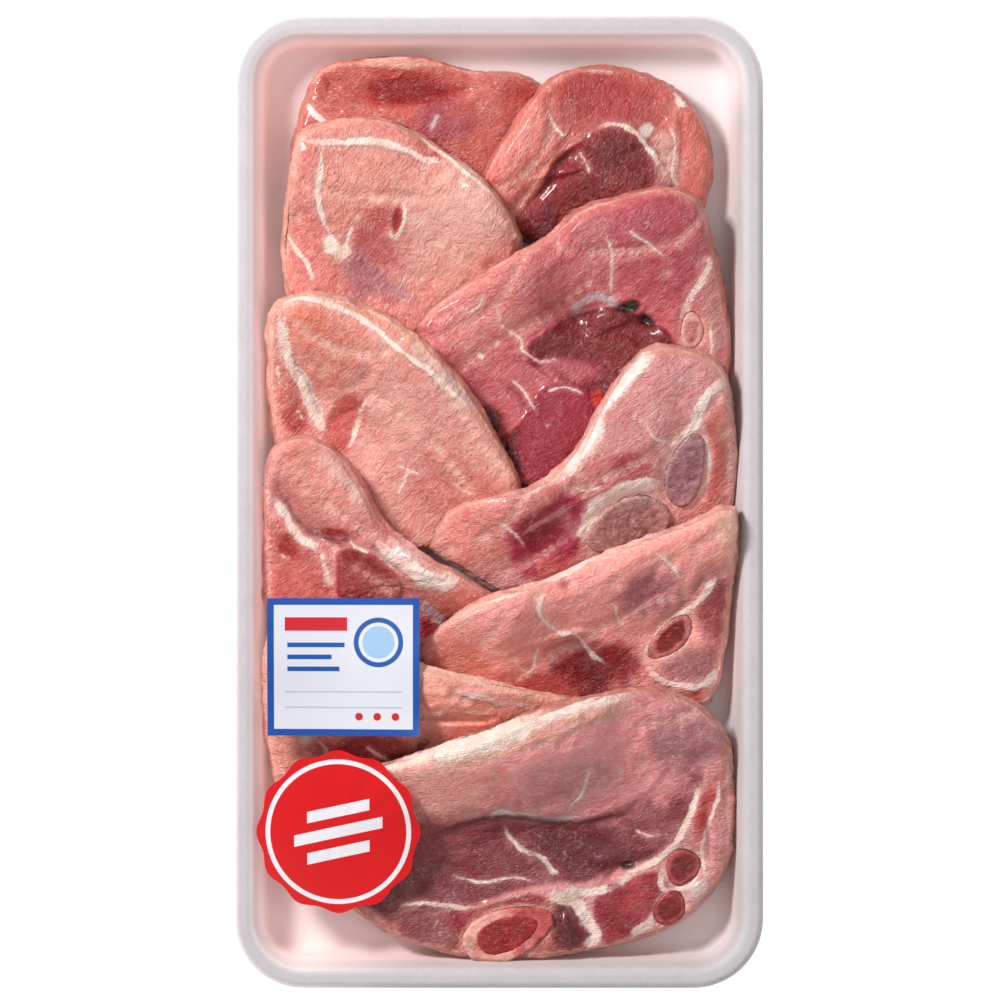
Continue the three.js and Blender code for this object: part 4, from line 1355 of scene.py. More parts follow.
bones = {name: make_bone(name) for name in BONES}
print("bone triangles", {name: 2 * len(piece.data.polygons) for name, piece in bones.items()})

# %% [markdown]
# ## The foam tray
# A foam tray is pressed to shape: a flat floor, sloping walls and a rolled lip with round corners.
# It isn't round, so its section can't be spun. Instead the edges of one rounded ring are extruded
# again and again, and each new ring takes the inset and the level of the section's next point.

# %% The tray's section
TRAY_LENGTH = 375.0
TRAY_WIDTH = 204.0
TRAY_CORNER = 27.0
CORNER_STEPS = 20
SECTION_STEPS = 5
TRAY_MIDDLE = 60.0
FLOOR_LEVEL = 3.2
RIM_LEVEL = 27.0
SECTION_OUT = [
    (TRAY_MIDDLE, 0), (12.6, 0), (11.2, 0.8), (4.9, 19), (1.1, 21.4), (0.05, 23.2), (0.5, 25.7),
    (2.3, RIM_LEVEL), (5, RIM_LEVEL),
]
SECTION_IN = [
    (7.2, 26.2), (8.5, 24.2), (9.6, 20.5), (11.8, 10), (13.4, 6.2), (16.4, 4.1), (20.5, 3.4),
    (26, FLOOR_LEVEL), (34, FLOOR_LEVEL), (46, FLOOR_LEVEL), (TRAY_MIDDLE, FLOOR_LEVEL),
]


def tray_ring(inset, level):
    """A rounded rectangle, a given way in from the tray's outline."""
    radius = max(TRAY_CORNER - inset, 1.0)
    ring = []
    for corner, (sx, sy) in enumerate([(1, -1), (1, 1), (-1, 1), (-1, -1)]):
        for step in range(CORNER_STEPS):
            angle = (corner - 1 + step / (CORNER_STEPS - 1)) * math.pi / 2
            x = sx * (TRAY_WIDTH / 2 - inset - radius) + radius * math.cos(angle)
            y = sy * (TRAY_LENGTH / 2 - inset - radius) + radius * math.sin(angle)
            ring.append((x * MM, y * MM, level * MM))
    return ring


# %% Making the tray
CLOSE_TOGETHER = 1e-7


def lofted(work, rings):
    """A skin through rings of places: the first ring's edges are drawn out to each next ring."""
    order = work.verts.layers.int.new("order")
    verts = [work.verts.new(place) for place in rings[0]]
    for number, vert in enumerate(verts):
        vert[order] = number
    edges = [work.edges.new((verts[number - 1], verts[number])) for number in range(len(verts))]
    first = edges
    for ring in rings[1:]:
        drawn = bmesh.ops.extrude_edge_only(work, edges=edges)["geom"]
        for vert in drawn:
            if isinstance(vert, bmesh.types.BMVert):
                vert.co = ring[vert[order]]
        edges = [edge for edge in drawn if isinstance(edge, bmesh.types.BMEdge)]
    for ends in (first, edges):
        bmesh.ops.contextual_create(work, geom=ends)
    work.verts.layers.int.remove(order)


def finished(work, name):
    """A scene object from a bmesh, its doubles merged and its faces outwards."""
    bmesh.ops.remove_doubles(work, verts=work.verts, dist=CLOSE_TOGETHER)
    bmesh.ops.recalc_face_normals(work, faces=work.faces)
    mesh = bpy.data.meshes.new(name)
    work.to_mesh(mesh)
    work.free()
    return placed(mesh, name)


def make_tray():
    section = curve(SECTION_OUT + SECTION_IN, SECTION_STEPS)
    section[:, 0] = np.clip(section[:, 0], 0.0, TRAY_MIDDLE)
    section[:, 1] = np.clip(section[:, 1], 0.0, RIM_LEVEL)
    inner = len(section) - SECTION_STEPS * len(SECTION_IN)
    section[inner:, 1] = np.maximum(section[inner:, 1], FLOOR_LEVEL)
    work = bmesh.new()
    lofted(work, [tray_ring(*place) for place in section])
    piece = finished(work, "tray_foam")
    shade_smooth(piece.data)
    return piece


tray = make_tray()
print("tray faces", len(tray.data.polygons))

# %% [markdown]
# ## The printed card and the sticker
# Both are stiff coated paper on uneven meat, so they bend in long soft curves. Cloth would crumple,
# which paper doesn't. A grid takes the CAD plate's height from a ray at each vertex, the heights are
# eased until they bend softly, and extruding the sheet downwards gives it a thickness.

# %% The paper's values
CARD = {"centre": (-59.4, -63.6), "width": 58.5, "height": 52.8}
STICKER = {"centre": (-61.5, -127.0), "radius": 31.6, "scallop": 1.6, "scallops": 12}
PAPER = 0.5
CARD_GRID = 48
STICKER_RINGS = 28
STICKER_SPOKES = 144
PAPER_EASE = 40
RAY_SHARE = 0.985
RAY_HEIGHT = 0.2


def card_place(down, over):
    x = CARD["centre"][0] + (over - 0.5) * CARD["width"]
    y = CARD["centre"][1] + (0.5 - down) * CARD["height"]
    return (x, y)


def sticker_place(out, turn):
    angle = 2 * math.pi * turn
    radius = STICKER["radius"] - STICKER["scallop"] * (1 - math.cos(STICKER["scallops"] * angle)) / 2
    x = STICKER["centre"][0] + out * radius * math.cos(angle)
    y = STICKER["centre"][1] + out * radius * math.sin(angle)
    return (x, y)


# %% Making the paper
def eased(top, closed):
    """The heights with each row and column bent less, again and again."""
    for _ in range(PAPER_EASE):
        if closed:
            around = 0.5 * (np.roll(top, 1, 1) + np.roll(top, -1, 1))
        else:
            wide = np.pad(top, ((0, 0), (1, 1)), "reflect", reflect_type="odd")
            around = 0.5 * (wide[:, :-2] + wide[:, 2:])
        tall = np.pad(top, ((1, 1), (0, 0)), "reflect", reflect_type="odd")
        across = 0.5 * (tall[:-2] + tall[2:])
        top = 0.5 * top + 0.25 * around + 0.25 * across
        if closed:
            top[0] = top[0].mean()
    return top


def paper_plate(name, node, rows, columns, place, closed):
    """A thin plate, rows by columns, at the CAD plate's top; a closed one runs round its middle."""
    tree = tree_of([node])
    last = columns if closed else columns - 1
    flat = np.array([[place(r / (rows - 1), c / last) for c in range(columns)] for r in range(rows)])
    centre = flat.reshape(-1, 2).mean(axis=0)
    top = np.zeros((rows, columns))
    for r in range(rows):
        for c in range(columns):
            x, y = centre + (flat[r, c] - centre) * RAY_SHARE
            top[r, c] = tree.ray_cast(Vector((x * MM, y * MM, RAY_HEIGHT)), DOWN)[0].z / MM
    top = eased(top, closed)
    work = bmesh.new()
    bmesh.ops.create_grid(work, x_segments=last, y_segments=rows - 1, size=0.5)
    for vert in work.verts:
        r = round((0.5 - vert.co.y) * (rows - 1))
        c = round((vert.co.x + 0.5) * last) % columns
        vert.co = (flat[r, c, 0] * MM, flat[r, c, 1] * MM, top[r, c] * MM)
    bmesh.ops.remove_doubles(work, verts=work.verts, dist=CLOSE_TOGETHER)
    sheet = work.faces[:] + work.edges[:] + work.verts[:]
    drawn = bmesh.ops.extrude_face_region(work, geom=sheet, use_keep_orig=True)
    for part in drawn["geom"]:
        if isinstance(part, bmesh.types.BMVert):
            part.co.z -= PAPER * MM
    return finished(work, name)


card = paper_plate("card_paper", "label_card", CARD_GRID, CARD_GRID, card_place, False)
sticker = paper_plate(
    "sticker_paper", "label_sticker", STICKER_RINGS, STICKER_SPOKES, sticker_place, True
)
print("paper faces", len(card.data.polygons), len(sticker.data.polygons))

# %% [markdown]
# ## Materials
# A node tree built in Python is long to read, so small helpers add one node each and give back its
# output. With them a material reads almost like a formula.

# %% Node helpers
def add_node(tree, kind, **values):
    node = tree.nodes.new(kind)
    for key, value in values.items():
        setattr(node, key, value)
    return node


def link(tree, a, b):
    tree.links.new(a, b)


def math_node(tree, operation, a, b=None, c=None):
    node = add_node(tree, "ShaderNodeMath", operation=operation)
    for socket, value in zip(node.inputs, (a, b, c)):
        if value is None:
            continue
        if isinstance(value, (int, float)):
            socket.default_value = value
        else:
            link(tree, value, socket)
    return node.outputs[0]


def times(tree, a, b):
    return math_node(tree, "MULTIPLY", a, b)


def times_plus(tree, a, b, c):
    return math_node(tree, "MULTIPLY_ADD", a, b, c)


def step_node(tree, value, low, high, out_low=0.0, out_high=1.0):
    """A soft step of a value between two others."""
    node = add_node(tree, "ShaderNodeMapRange", interpolation_type="SMOOTHSTEP")
    link(tree, value, node.inputs["Value"])
    node.inputs["From Min"].default_value = low
    node.inputs["From Max"].default_value = high
    node.inputs["To Min"].default_value = out_low
    node.inputs["To Max"].default_value = out_high
    return node.outputs["Result"]


def mix_node(tree, factor, a, b, blend="MIX"):
    """A mix of two colours, which is the first one where the factor is 0."""
    node = add_node(tree, "ShaderNodeMix", data_type="RGBA", blend_type=blend)
    for socket, value in ((node.inputs[0], factor), (node.inputs[6], a), (node.inputs[7], b)):
        if isinstance(value, (int, float, tuple)):
            socket.default_value = value
        else:
            link(tree, value, socket)
    return node.outputs[2]


# %% Noise and the tilt of a fine height
def noise_node(tree, vector, scale, detail=2.0, roughness=0.5, distortion=0.0, output="Fac"):
    node = add_node(tree, "ShaderNodeTexNoise")
    link(tree, vector, node.inputs["Vector"])
    node.inputs["Scale"].default_value = scale
    node.inputs["Detail"].default_value = detail
    node.inputs["Roughness"].default_value = roughness
    node.inputs["Distortion"].default_value = distortion
    return node.outputs[output]


def stretched(tree, vector, along):
    """The same places with the first axis shortened, so that noise on them runs in strands."""
    node = add_node(tree, "ShaderNodeMapping")
    link(tree, vector, node.inputs["Vector"])
    node.inputs["Scale"].default_value = (along, 1.0, 1.0)
    return node.outputs["Vector"]


def raised(tree, height, strength, distance):
    """A normal tilted by a fine height."""
    node = add_node(tree, "ShaderNodeBump")
    node.inputs["Strength"].default_value = strength
    node.inputs["Distance"].default_value = distance
    link(tree, height, node.inputs["Height"])
    return node.outputs["Normal"]


# %% [markdown]
# ## Wet grain
# Close up, raw meat is bundles of fibres with a net of fine wrinkles, and its moist surface glints
# in flecks along them. Bone, gristle and marrow are wet in the same way, so all of them share one
# node group. It takes the painted attributes and gives a colour, a roughness and a fine height. The
# noises follow the grain attribute, so each chop's fibres run its own way.

# %% The grain's values
FIBRE, BUNDLE, GLINT, WRINKLE = 1600, 330, 1900, 430
MOTTLE, SHINE, FRAY = 150, 210, 620
VEIN, VEIN_BEND, VEIN_PLACES = 105, 110, 60
VEIN_SHIFT = 0.006
PALE_LEAN = (252, 214, 206)
VEIN_TONE = (242, 206, 196)
# The wrinkle lines are partly the meat's own and partly painted highlight; the glints are painted
# highlights.
WRINKLE_AND_SHINE_TONE = (255, 222, 214)
GLINT_TONE = (255, 232, 226)
FAT_TONES = ((246, 209, 193), (252, 232, 220))
FILM_TONE = (212, 194, 200)
# Painted shade: creases, and the pores of the bones, darken towards this deep red.
CREASE_SHADE_TONE = (84, 22, 24)
GRAIN_INPUTS = (
    ("Paint", "NodeSocketColor"), ("Fat", "NodeSocketFloat"), ("Film", "NodeSocketFloat"),
    ("Crease Shade", "NodeSocketFloat"), ("Wet", "NodeSocketFloat"), ("Grain", "NodeSocketVector"),
    ("Place", "NodeSocketVector"),
)
GRAIN_OUTPUTS = (
    ("Color", "NodeSocketColor"), ("Roughness", "NodeSocketFloat"), ("Height", "NodeSocketFloat"),
)


# %% Fibres, wrinkles and veins
def grain_noises(tree, given):
    """The noises along the grain and over the piece, by name."""
    grain, place = given["Grain"], given["Place"]
    strands = stretched(tree, grain, 0.5)
    return {
        "fibre": noise_node(tree, strands, FIBRE, 2.0, 0.62),
        "bundle": noise_node(tree, strands, BUNDLE, 2.0, 0.5),
        "mottle": noise_node(tree, place, MOTTLE, 2.0, 0.55),
        "glint": noise_node(tree, stretched(tree, grain, 0.34), GLINT, 2.0, 0.6, 0.15),
        "shine": noise_node(tree, place, SHINE, 2.0, 0.6),
        "wrinkle": noise_node(tree, stretched(tree, grain, 0.55), WRINKLE, 2.0, 0.6, 0.5),
        "fray": noise_node(tree, place, FRAY, 2.0, 0.6),
    }


def vein_net(tree, place):
    """Fine veins: the borders of bent cells, in some places only."""
    bent = add_node(tree, "ShaderNodeVectorMath", operation="MULTIPLY_ADD")
    link(tree, noise_node(tree, place, VEIN_BEND, output="Color"), bent.inputs[0])
    bent.inputs[1].default_value = (VEIN_SHIFT, VEIN_SHIFT, VEIN_SHIFT)
    link(tree, place, bent.inputs[2])
    cells = add_node(tree, "ShaderNodeTexVoronoi", feature="DISTANCE_TO_EDGE")
    link(tree, bent.outputs[0], cells.inputs["Vector"])
    cells.inputs["Scale"].default_value = VEIN
    veins = step_node(tree, cells.outputs["Distance"], 0.045, 0.0)
    some = step_node(tree, noise_node(tree, place, VEIN_PLACES, 1.0), 0.5, 0.66)
    return times(tree, veins, some)


# %% Lean meat, then fat and film over it
def lean_colour(tree, given, noise):
    """The paint with its fibres and bundles, faint veins, wrinkle lines that are partly painted
    highlight, and painted glints.
    """
    paint_in = given["Paint"]
    parts = add_node(tree, "ShaderNodeSeparateColor")
    link(tree, paint_in, parts.inputs[0])
    light = step_node(tree, parts.outputs[1], 0.015, 0.24, 0.2, 1.0)
    pale = mix_node(tree, times(tree, light, 0.3), paint_in, rgba(PALE_LEAN))
    deep = mix_node(tree, 0.7, paint_in, paint_in, "MULTIPLY")
    colour = mix_node(tree, step_node(tree, noise["bundle"], 0.5, 0.7, 0.0, 0.35), paint_in, pale)
    colour = mix_node(tree, step_node(tree, noise["bundle"], 0.48, 0.3, 0.0, 0.3), colour, deep)
    colour = mix_node(tree, step_node(tree, noise["fibre"], 0.52, 0.66, 0.0, 0.5), colour, pale)
    colour = mix_node(tree, step_node(tree, noise["fibre"], 0.48, 0.36, 0.0, 0.35), colour, deep)
    faint = times(tree, math_node(tree, "SUBTRACT", light, 0.2), 0.18)
    veins = times(tree, vein_net(tree, given["Place"]), faint)
    colour = mix_node(tree, veins, colour, rgba(VEIN_TONE))
    # Pale lines along the wrinkles: partly the meat's own, partly painted highlight on their crests.
    off_middle = math_node(tree, "ABSOLUTE", math_node(tree, "SUBTRACT", noise["wrinkle"], 0.5))
    net = step_node(tree, off_middle, 0.05, 0.0)
    net = times(tree, net, step_node(tree, noise["shine"], 0.36, 0.62, 0.12, 0.5))
    net = times(tree, net, light)
    colour = mix_node(tree, net, colour, mix_node(tree, 0.5, paint_in, rgba(WRINKLE_AND_SHINE_TONE)))
    # Painted highlights: pale glints mixed into the colour in strands along the grain, most where the
    # meat is wet.
    painted_glints = step_node(tree, noise["glint"], 0.54, 0.66)
    painted_glints = times(tree, painted_glints, step_node(tree, noise["shine"], 0.42, 0.6, 0.15, 1.0))
    painted_glints = times(tree, painted_glints, step_node(tree, given["Wet"], 0.1, 0.85, 0.15, 0.85))
    painted_glints = times(tree, painted_glints, times_plus(tree, light, 0.65, 0.35))
    return mix_node(tree, painted_glints, colour, mix_node(tree, 0.62, paint_in, rgba(GLINT_TONE)))


def fat_and_film(tree, given, noise, colour):
    """Fat and silverskin with frayed edges, and painted shade in the creases, over the lean colour."""
    frayed = times_plus(tree, noise["fray"], 0.7, -0.35)
    near_fat = times(tree, frayed, step_node(tree, given["Fat"], 0.02, 0.2))
    fat = step_node(tree, math_node(tree, "ADD", given["Fat"], near_fat), 0.26, 0.78, 0.0, 0.9)
    patchy = step_node(tree, noise["mottle"], 0.35, 0.65)
    fat_tone = mix_node(tree, patchy, rgba(FAT_TONES[0]), rgba(FAT_TONES[1]))
    colour = mix_node(tree, fat, colour, fat_tone)
    near_film = times(tree, frayed, given["Film"])
    film = step_node(tree, math_node(tree, "ADD", given["Film"], near_film), 0.25, 0.8, 0.0, 0.75)
    colour = mix_node(tree, film, colour, rgba(FILM_TONE))
    # Painted shade: the creases and the bones' pores darken towards a deep red.
    colour = mix_node(tree, times(tree, given["Crease Shade"], 0.72), colour, rgba(CREASE_SHADE_TONE))
    return fat, colour


# %% The group
def wet_grain_group():
    """One node group from the painted attributes to colour, roughness and height."""
    tree = bpy.data.node_groups.new("wet_grain", "ShaderNodeTree")
    for name, kind in GRAIN_INPUTS:
        tree.interface.new_socket(name, in_out="INPUT", socket_type=kind)
    for name, kind in GRAIN_OUTPUTS:
        tree.interface.new_socket(name, in_out="OUTPUT", socket_type=kind)
    given = add_node(tree, "NodeGroupInput").outputs
    out = add_node(tree, "NodeGroupOutput").inputs
    noise = grain_noises(tree, given)
    fat, colour = fat_and_film(tree, given, noise, lean_colour(tree, given, noise))
    link(tree, colour, out["Color"])
    rough = step_node(tree, noise["mottle"], 0.3, 0.7, 0.5, 0.34)
    link(tree, times_plus(tree, given["Wet"], -0.08, rough), out["Roughness"])
    height = times_plus(tree, noise["fibre"], 0.5, times(tree, noise["mottle"], 0.9))
    height = times_plus(tree, noise["glint"], 0.6, height)
    height = times_plus(tree, noise["wrinkle"], 1.3, height)
    link(tree, times_plus(tree, fat, 0.25, height), out["Height"])
    return tree


WET_GRAIN = wet_grain_group()
print("grain nodes", len(WET_GRAIN.nodes))

# %% [markdown]
# ## Meat, bone, gristle and marrow
# The four finishes differ in how wet and how rough they are, not in kind, so one function makes
# them. The thin clear coat is the film of moisture. Light that scatters under the surface would
# soften the flesh, but it makes small seams run together and the render slow, so it stays out.

# %% The flesh materials
BUMP_DEPTH = 0.0008
COAT_ROUGHNESS = 0.13
SPECULAR = 0.36


def flesh_material(name, roughness_shift, bump, coat):
    """Anything wet from the animal: paint attributes through the shared grain."""
    material = bpy.data.materials.new(name)
    material.use_nodes = True
    tree = material.node_tree
    shader = tree.nodes["Principled BSDF"]
    paint_in, marks_in, grain_in = (
        add_node(tree, "ShaderNodeAttribute", attribute_name=layer)
        for layer in ("paint", "marks", "grain")
    )
    split = add_node(tree, "ShaderNodeSeparateColor")
    link(tree, marks_in.outputs["Color"], split.inputs[0])
    grain = add_node(tree, "ShaderNodeGroup", node_tree=WET_GRAIN)
    link(tree, paint_in.outputs["Color"], grain.inputs["Paint"])
    for socket, output in zip(("Fat", "Film", "Crease Shade"), split.outputs):
        link(tree, output, grain.inputs[socket])
    link(tree, marks_in.outputs["Alpha"], grain.inputs["Wet"])
    link(tree, grain_in.outputs["Vector"], grain.inputs["Grain"])
    link(tree, add_node(tree, "ShaderNodeTexCoord").outputs["Object"], grain.inputs["Place"])
    link(tree, grain.outputs["Color"], shader.inputs["Base Color"])
    rough = math_node(tree, "ADD", grain.outputs["Roughness"], roughness_shift)
    link(tree, rough, shader.inputs["Roughness"])
    normal = raised(tree, grain.outputs["Height"], bump, BUMP_DEPTH)
    link(tree, normal, shader.inputs["Normal"])
    shader.inputs["Coat Weight"].default_value = coat
    shader.inputs["Coat Roughness"].default_value = COAT_ROUGHNESS
    shader.inputs["Specular IOR Level"].default_value = SPECULAR
    return material


MEAT = flesh_material("raw_meat", roughness_shift=0.02, bump=1.0, coat=0.3)
BONE = flesh_material("cut_bone", roughness_shift=0.08, bump=0.6, coat=0.15)
GRISTLE = flesh_material("cut_gristle", roughness_shift=0.0, bump=0.5, coat=0.3)
MARROW = flesh_material("red_marrow", roughness_shift=-0.04, bump=0.8, coat=0.2)
print("flesh materials ready")

# %% [markdown]
# ## Foam
# Expanded foam is many beads pressed together: white and matt, with a faint cell pattern that shows
# most on the lip. Light also goes a little way through its thin walls, and the meat tints what
# comes back. Real scattering in a thin wall is noisy, so a weak glow in the walls that face away
# from the key light stands for it.

# %% The foam's values
# Painted light: one foam, with the lip painted darker as shade and the inside painted lighter, pinker
# towards the left as painted bounce light from the meat.
LIP_SHADED_TONES = ((203, 197, 199), (194, 188, 191))
INNER_LIT_TONES = ((240, 218, 215), (224, 214, 214))
GLOW_TONE = (255, 226, 222)
FOAM_CELLS, FOAM_CLOUDS = 620, 90
WALL_GLOW, INNER_GLOW = 0.3, 0.03
INNER_STARTS = (0.0266, 0.013)
BOUNCE_FROM_TO = (-0.102, 0.06)
LEFT_WALL = (-0.085, -0.02)
FAR_WALL = (0.145, 0.172)
WALL_RISE = (0.003, 0.018)
WALL_TOP = (0.02705, 0.0261)


# %% The foam's material
def foam_glow(tree, x, y, z, low):
    """How much light the shaded walls let through."""
    left = step_node(tree, x, *LEFT_WALL, 1.0, 0.0)
    far = step_node(tree, y, *FAR_WALL, 0.0, 0.9)
    shaded = math_node(tree, "MAXIMUM", left, far)
    wall = step_node(tree, z, *WALL_RISE, 0.22, 1.0)
    wall = times(tree, wall, step_node(tree, z, *WALL_TOP))
    return times_plus(tree, times(tree, wall, shaded), WALL_GLOW, times(tree, low, INNER_GLOW))


def foam_material():
    material = bpy.data.materials.new("white_foam")
    material.use_nodes = True
    tree = material.node_tree
    shader = tree.nodes["Principled BSDF"]
    place = add_node(tree, "ShaderNodeTexCoord").outputs["Object"]
    cells = add_node(tree, "ShaderNodeTexVoronoi", feature="F1")
    link(tree, place, cells.inputs["Vector"])
    cells.inputs["Scale"].default_value = FOAM_CELLS
    cloud = noise_node(tree, place, FOAM_CLOUDS, 2.0)
    shade = times_plus(tree, cells.outputs["Distance"], 0.3, times(tree, cloud, 0.7))
    axes = add_node(tree, "ShaderNodeSeparateXYZ")
    link(tree, place, axes.inputs[0])
    x, y, z = axes.outputs
    # Painted light: the lip darker, the inside lighter and pinker towards the left.
    lip = mix_node(tree, step_node(tree, shade, 0.2, 0.9), *[rgba(tone) for tone in LIP_SHADED_TONES])
    inner = mix_node(tree, step_node(tree, x, *BOUNCE_FROM_TO), *[rgba(tone) for tone in INNER_LIT_TONES])
    low = step_node(tree, z, *INNER_STARTS)
    link(tree, mix_node(tree, low, lip, inner), shader.inputs["Base Color"])
    shader.inputs["Roughness"].default_value = 0.62
    link(tree, foam_glow(tree, x, y, z, low), shader.inputs["Emission Strength"])
    shader.inputs["Emission Color"].default_value = rgba(GLOW_TONE)
    link(tree, raised(tree, cells.outputs["Distance"], 0.12, 0.0003), shader.inputs["Normal"])
    return material


FOAM = foam_material()
print("foam nodes", len(FOAM.node_tree.nodes))

# %% [markdown]
# ## Print
# A pack like this has a white card with a coloured border and a red sticker. An image would blur
# close up, so each shape is a field: it is worked out from the place on the paper, in millimetres
# from its centre, and its edge stays sharp at any size. The shapes are plain ones, in the usual
# colours of such labels.

# %% The print's fields
EDGE_SOFT = 0.12


def paper_axes(tree, centre):
    """The place on the paper from its centre, in millimetres."""
    place = add_node(tree, "ShaderNodeTexCoord").outputs["Object"]
    split = add_node(tree, "ShaderNodeSeparateXYZ")
    link(tree, place, split.inputs[0])
    return tuple(times_plus(tree, split.outputs[i], 1000.0, -centre[i]) for i in range(2))


def beyond(tree, value, at, half):
    """How far a value lies outside a span."""
    off = math_node(tree, "ABSOLUTE", math_node(tree, "SUBTRACT", value, at))
    return math_node(tree, "SUBTRACT", off, half)


def bar_share(tree, x, y, at, half):
    """1 inside a bar, with a sharp soft edge."""
    dx = beyond(tree, x, at[0], half[0])
    dy = beyond(tree, y, at[1], half[1])
    return step_node(tree, math_node(tree, "MAXIMUM", dx, dy), EDGE_SOFT, -EDGE_SOFT)


def disc_share(tree, x, y, at, radius):
    """1 inside a disc, with the same edge."""
    dx = math_node(tree, "SUBTRACT", x, at[0])
    dy = math_node(tree, "SUBTRACT", y, at[1])
    square = math_node(tree, "ADD", times(tree, dx, dx), times(tree, dy, dy))
    out = math_node(tree, "SUBTRACT", math_node(tree, "SQRT", square), radius)
    return step_node(tree, out, EDGE_SOFT, -EDGE_SOFT)


# %% The card's and the sticker's designs
CARD_WHITE = (218, 218, 228)
CARD_BLUE = (0, 74, 162)
LINE_BLUE = (0, 80, 164)
PALE_BLUE = (150, 186, 222)
BAR_RED = (204, 16, 38)
RULE_GREY = (178, 182, 196)
STICKER_RED = (222, 4, 16)
STICKER_WHITE = (240, 238, 242)
BORDER = 2.6
ROUND = (13.5, 9.5)


def card_colour(tree):
    """A white card: blue border, a round mark, a red bar, lines, rules and dots."""
    x, y = paper_axes(tree, CARD["centre"])
    inside = (CARD["width"] / 2 - BORDER, CARD["height"] / 2 - BORDER)
    white, blue = rgba(CARD_WHITE), rgba(LINE_BLUE)
    colour = mix_node(tree, bar_share(tree, x, y, (0, 0), inside), rgba(CARD_BLUE), white)
    for radius, tone in ((9.5, blue), (7.6, white), (6.2, rgba(PALE_BLUE))):
        colour = mix_node(tree, disc_share(tree, x, y, ROUND, radius), colour, tone)
    colour = mix_node(tree, bar_share(tree, x, y, (-10.5, 16.5), (12.0, 2.6)), colour, rgba(BAR_RED))
    for row, length in enumerate((11.0, 8.5, 10.0)):
        line = bar_share(tree, x, y, (-21.5 + length, 8.5 - 4.6 * row), (length, 0.9))
        colour = mix_node(tree, line, colour, blue)
    for row in range(2):
        rule = bar_share(tree, x, y, (0, -9.5 - 6.0 * row), (22.5, 0.25))
        colour = mix_node(tree, rule, colour, rgba(RULE_GREY))
    for row in range(3):
        dot = disc_share(tree, x, y, (20.0 - 7.0 * row, -19.0), 1.5)
        colour = mix_node(tree, dot, colour, rgba(BAR_RED))
    return colour


def sticker_colour(tree):
    """A red disc with a white ring and three slanted bars."""
    x, y = paper_axes(tree, STICKER["centre"])
    white, red = rgba(STICKER_WHITE), rgba(STICKER_RED)
    colour = mix_node(tree, disc_share(tree, x, y, (0, 0), 28.0), red, white)
    colour = mix_node(tree, disc_share(tree, x, y, (0, 0), 26.2), colour, red)
    slant = times_plus(tree, x, -0.22, y)
    for at, length in ((8.0, 12.0), (0.0, 17.0), (-8.0, 12.0)):
        colour = mix_node(tree, bar_share(tree, x, slant, (0, at), (length, 2.2)), colour, white)
    return colour


# %% The print's materials
def paper_material(name, colour_of, roughness):
    material = bpy.data.materials.new(name)
    material.use_nodes = True
    tree = material.node_tree
    shader = tree.nodes["Principled BSDF"]
    link(tree, colour_of(tree), shader.inputs["Base Color"])
    shader.inputs["Roughness"].default_value = roughness
    return material


CARD_PRINT = paper_material("card_print", card_colour, 0.42)
STICKER_PRINT = paper_material("sticker_print", sticker_colour, 0.38)
print("print materials ready")

# %% [markdown]
# ## Riding the frame
# Nothing in a meat pack moves, so every piece rides on the one body. Each also hides the CAD node
# that it replaces, and gets the slot that its kind of finish has.

# %% Riding, slots and the CAD nodes that the pieces hide
def dress(piece, material, node):
    piece.data.materials.clear()
    piece.data.materials.append(material)
    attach(piece, "root")
    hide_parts(node)


for name, piece in chops.items():
    dress(piece, MEAT, name)
for name, piece in bones.items():
    if name.startswith("gristle"):
        dress(piece, GRISTLE, name)
    elif name.startswith("marrow"):
        dress(piece, MARROW, name)
    else:
        dress(piece, BONE, name)
dress(tray, FOAM, TRAY_NODE)
dress(card, CARD_PRINT, "label_card")
dress(sticker, STICKER_PRINT, "label_sticker")
print("pieces dressed", len(chops) + len(bones) + 3)

# %% [markdown]
# ## Table
# A pale table that glows a little stays nearly white in the picture, as a studio's sweep does, and
# still takes the tray's shadow.

# %% The table
TABLE_HALF = 1.6
TABLE_GREY = 0.96
TABLE_GLOW = 0.55


def make_table():
    work = bmesh.new()
    bmesh.ops.create_grid(work, x_segments=1, y_segments=1, size=TABLE_HALF)
    table = finished(work, "table")
    material = bpy.data.materials.new("pale_table")
    material.use_nodes = True
    shader = material.node_tree.nodes["Principled BSDF"]
    shader.inputs["Base Color"].default_value = (TABLE_GREY, TABLE_GREY, TABLE_GREY, 1)
    shader.inputs["Roughness"].default_value = 0.8
    shader.inputs["Emission Color"].default_value = (1, 1, 1, 1)
    shader.inputs["Emission Strength"].default_value = TABLE_GLOW
    table.data.materials.append(material)
    return table


floor = make_table()
floor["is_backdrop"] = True
print("table", 2 * TABLE_HALF, "m wide")

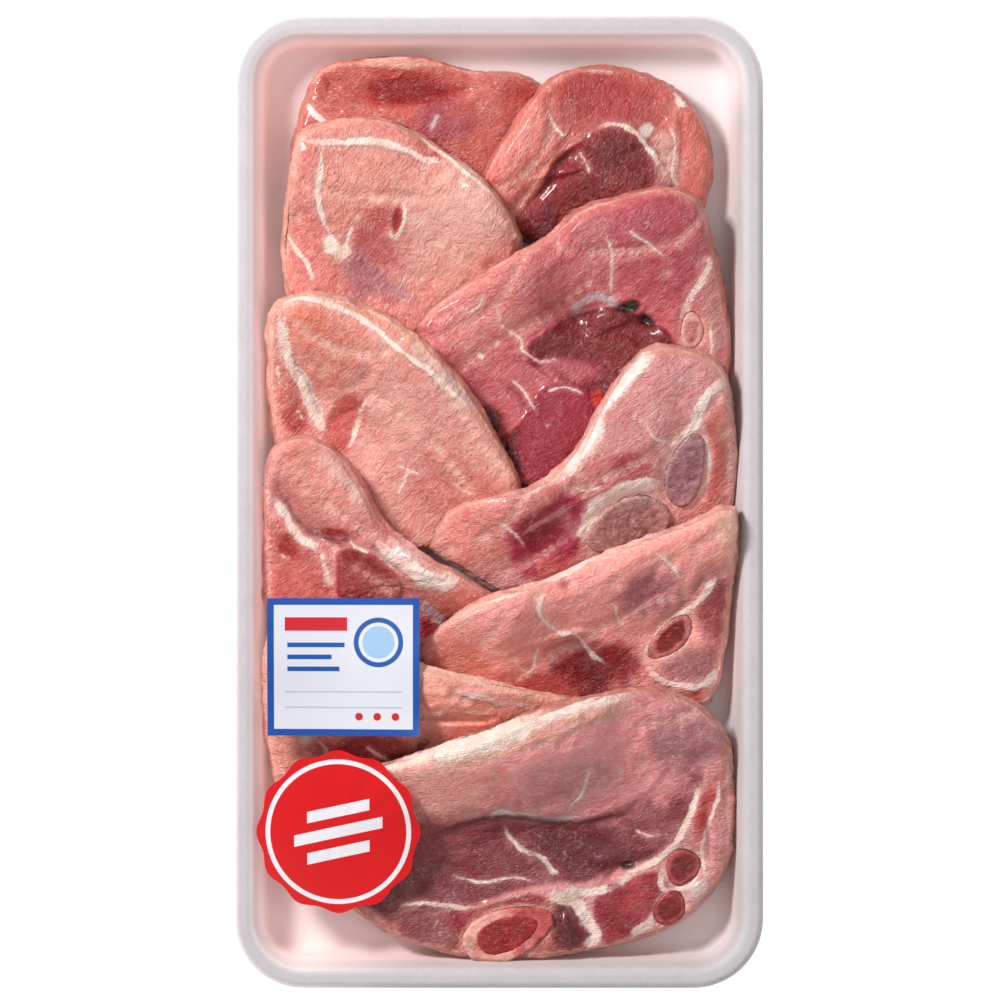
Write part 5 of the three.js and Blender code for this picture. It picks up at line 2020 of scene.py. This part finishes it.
# %% [markdown]
# ## Light
# The photo has one large soft light from the far left and plenty of white round it. An even white
# world gives the surround, a small square light gives the glints and the soft shadows, and a broad
# weak one opens the near right.

# %% The lights
SURROUND = 0.38
LIT_POINT = (0, 0, 0.02)
KEY = {"place": (-0.78, 0.66, 0.98), "size": 0.3, "power": 19.6}
FILL = {"place": (0.6, -0.3, 1.4), "size": 1.0, "power": 2.5}


def area_light(name, place, size, power):
    data = bpy.data.lights.new(name, "AREA")
    data.shape = "SQUARE"
    data.size = size
    data.energy = power
    lamp = bpy.data.objects.new(name, data)
    bpy.context.scene.collection.objects.link(lamp)
    lamp.location = place
    lamp.rotation_euler = (Vector(LIT_POINT) - Vector(place)).to_track_quat("-Z", "Y").to_euler()


world = bpy.data.worlds.new("studio")
bpy.context.scene.world = world
world.use_nodes = True
world.node_tree.nodes["Background"].inputs["Color"].default_value = (1, 1, 1, 1)
world.node_tree.nodes["Background"].inputs["Strength"].default_value = SURROUND
area_light("key", **KEY)
area_light("fill", **FILL)
print("lights", KEY["power"], FILL["power"], "W")

# %% [markdown]
# ## Camera
# The photo looks straight down from far off, so the near and far walls look alike. The camera hangs
# high over the middle, and its lens is worked out from the width that it has to show at the lip.

# %% The camera
CAMERA_HEIGHT = 3.0
VIEW_WIDTH = 0.3846
RIM_HEIGHT = RIM_LEVEL * MM
VIEW_CENTRE = (0.0006, 0.0004)
SENSOR = 36.0
camera_data = bpy.data.cameras.new("camera")
camera_data.sensor_width = SENSOR
camera_data.lens = SENSOR * (CAMERA_HEIGHT - RIM_HEIGHT) / VIEW_WIDTH
camera_data.clip_end = 20.0
camera = bpy.data.objects.new("camera", camera_data)
bpy.context.scene.collection.objects.link(camera)
camera.location = (*VIEW_CENTRE, CAMERA_HEIGHT)
bpy.context.scene.camera = camera
bpy.context.scene.view_settings.view_transform = "Standard"
print("lens", round(camera_data.lens), "mm")

# %% [markdown]
# ## Sizes and the end
# The visual model should stay in the CAD model's box, so its box is measured as well.

# %% Sizes, then the last line
SIZES["visual"] = [list(corner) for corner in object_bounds()]
print("sizes", SIZES)
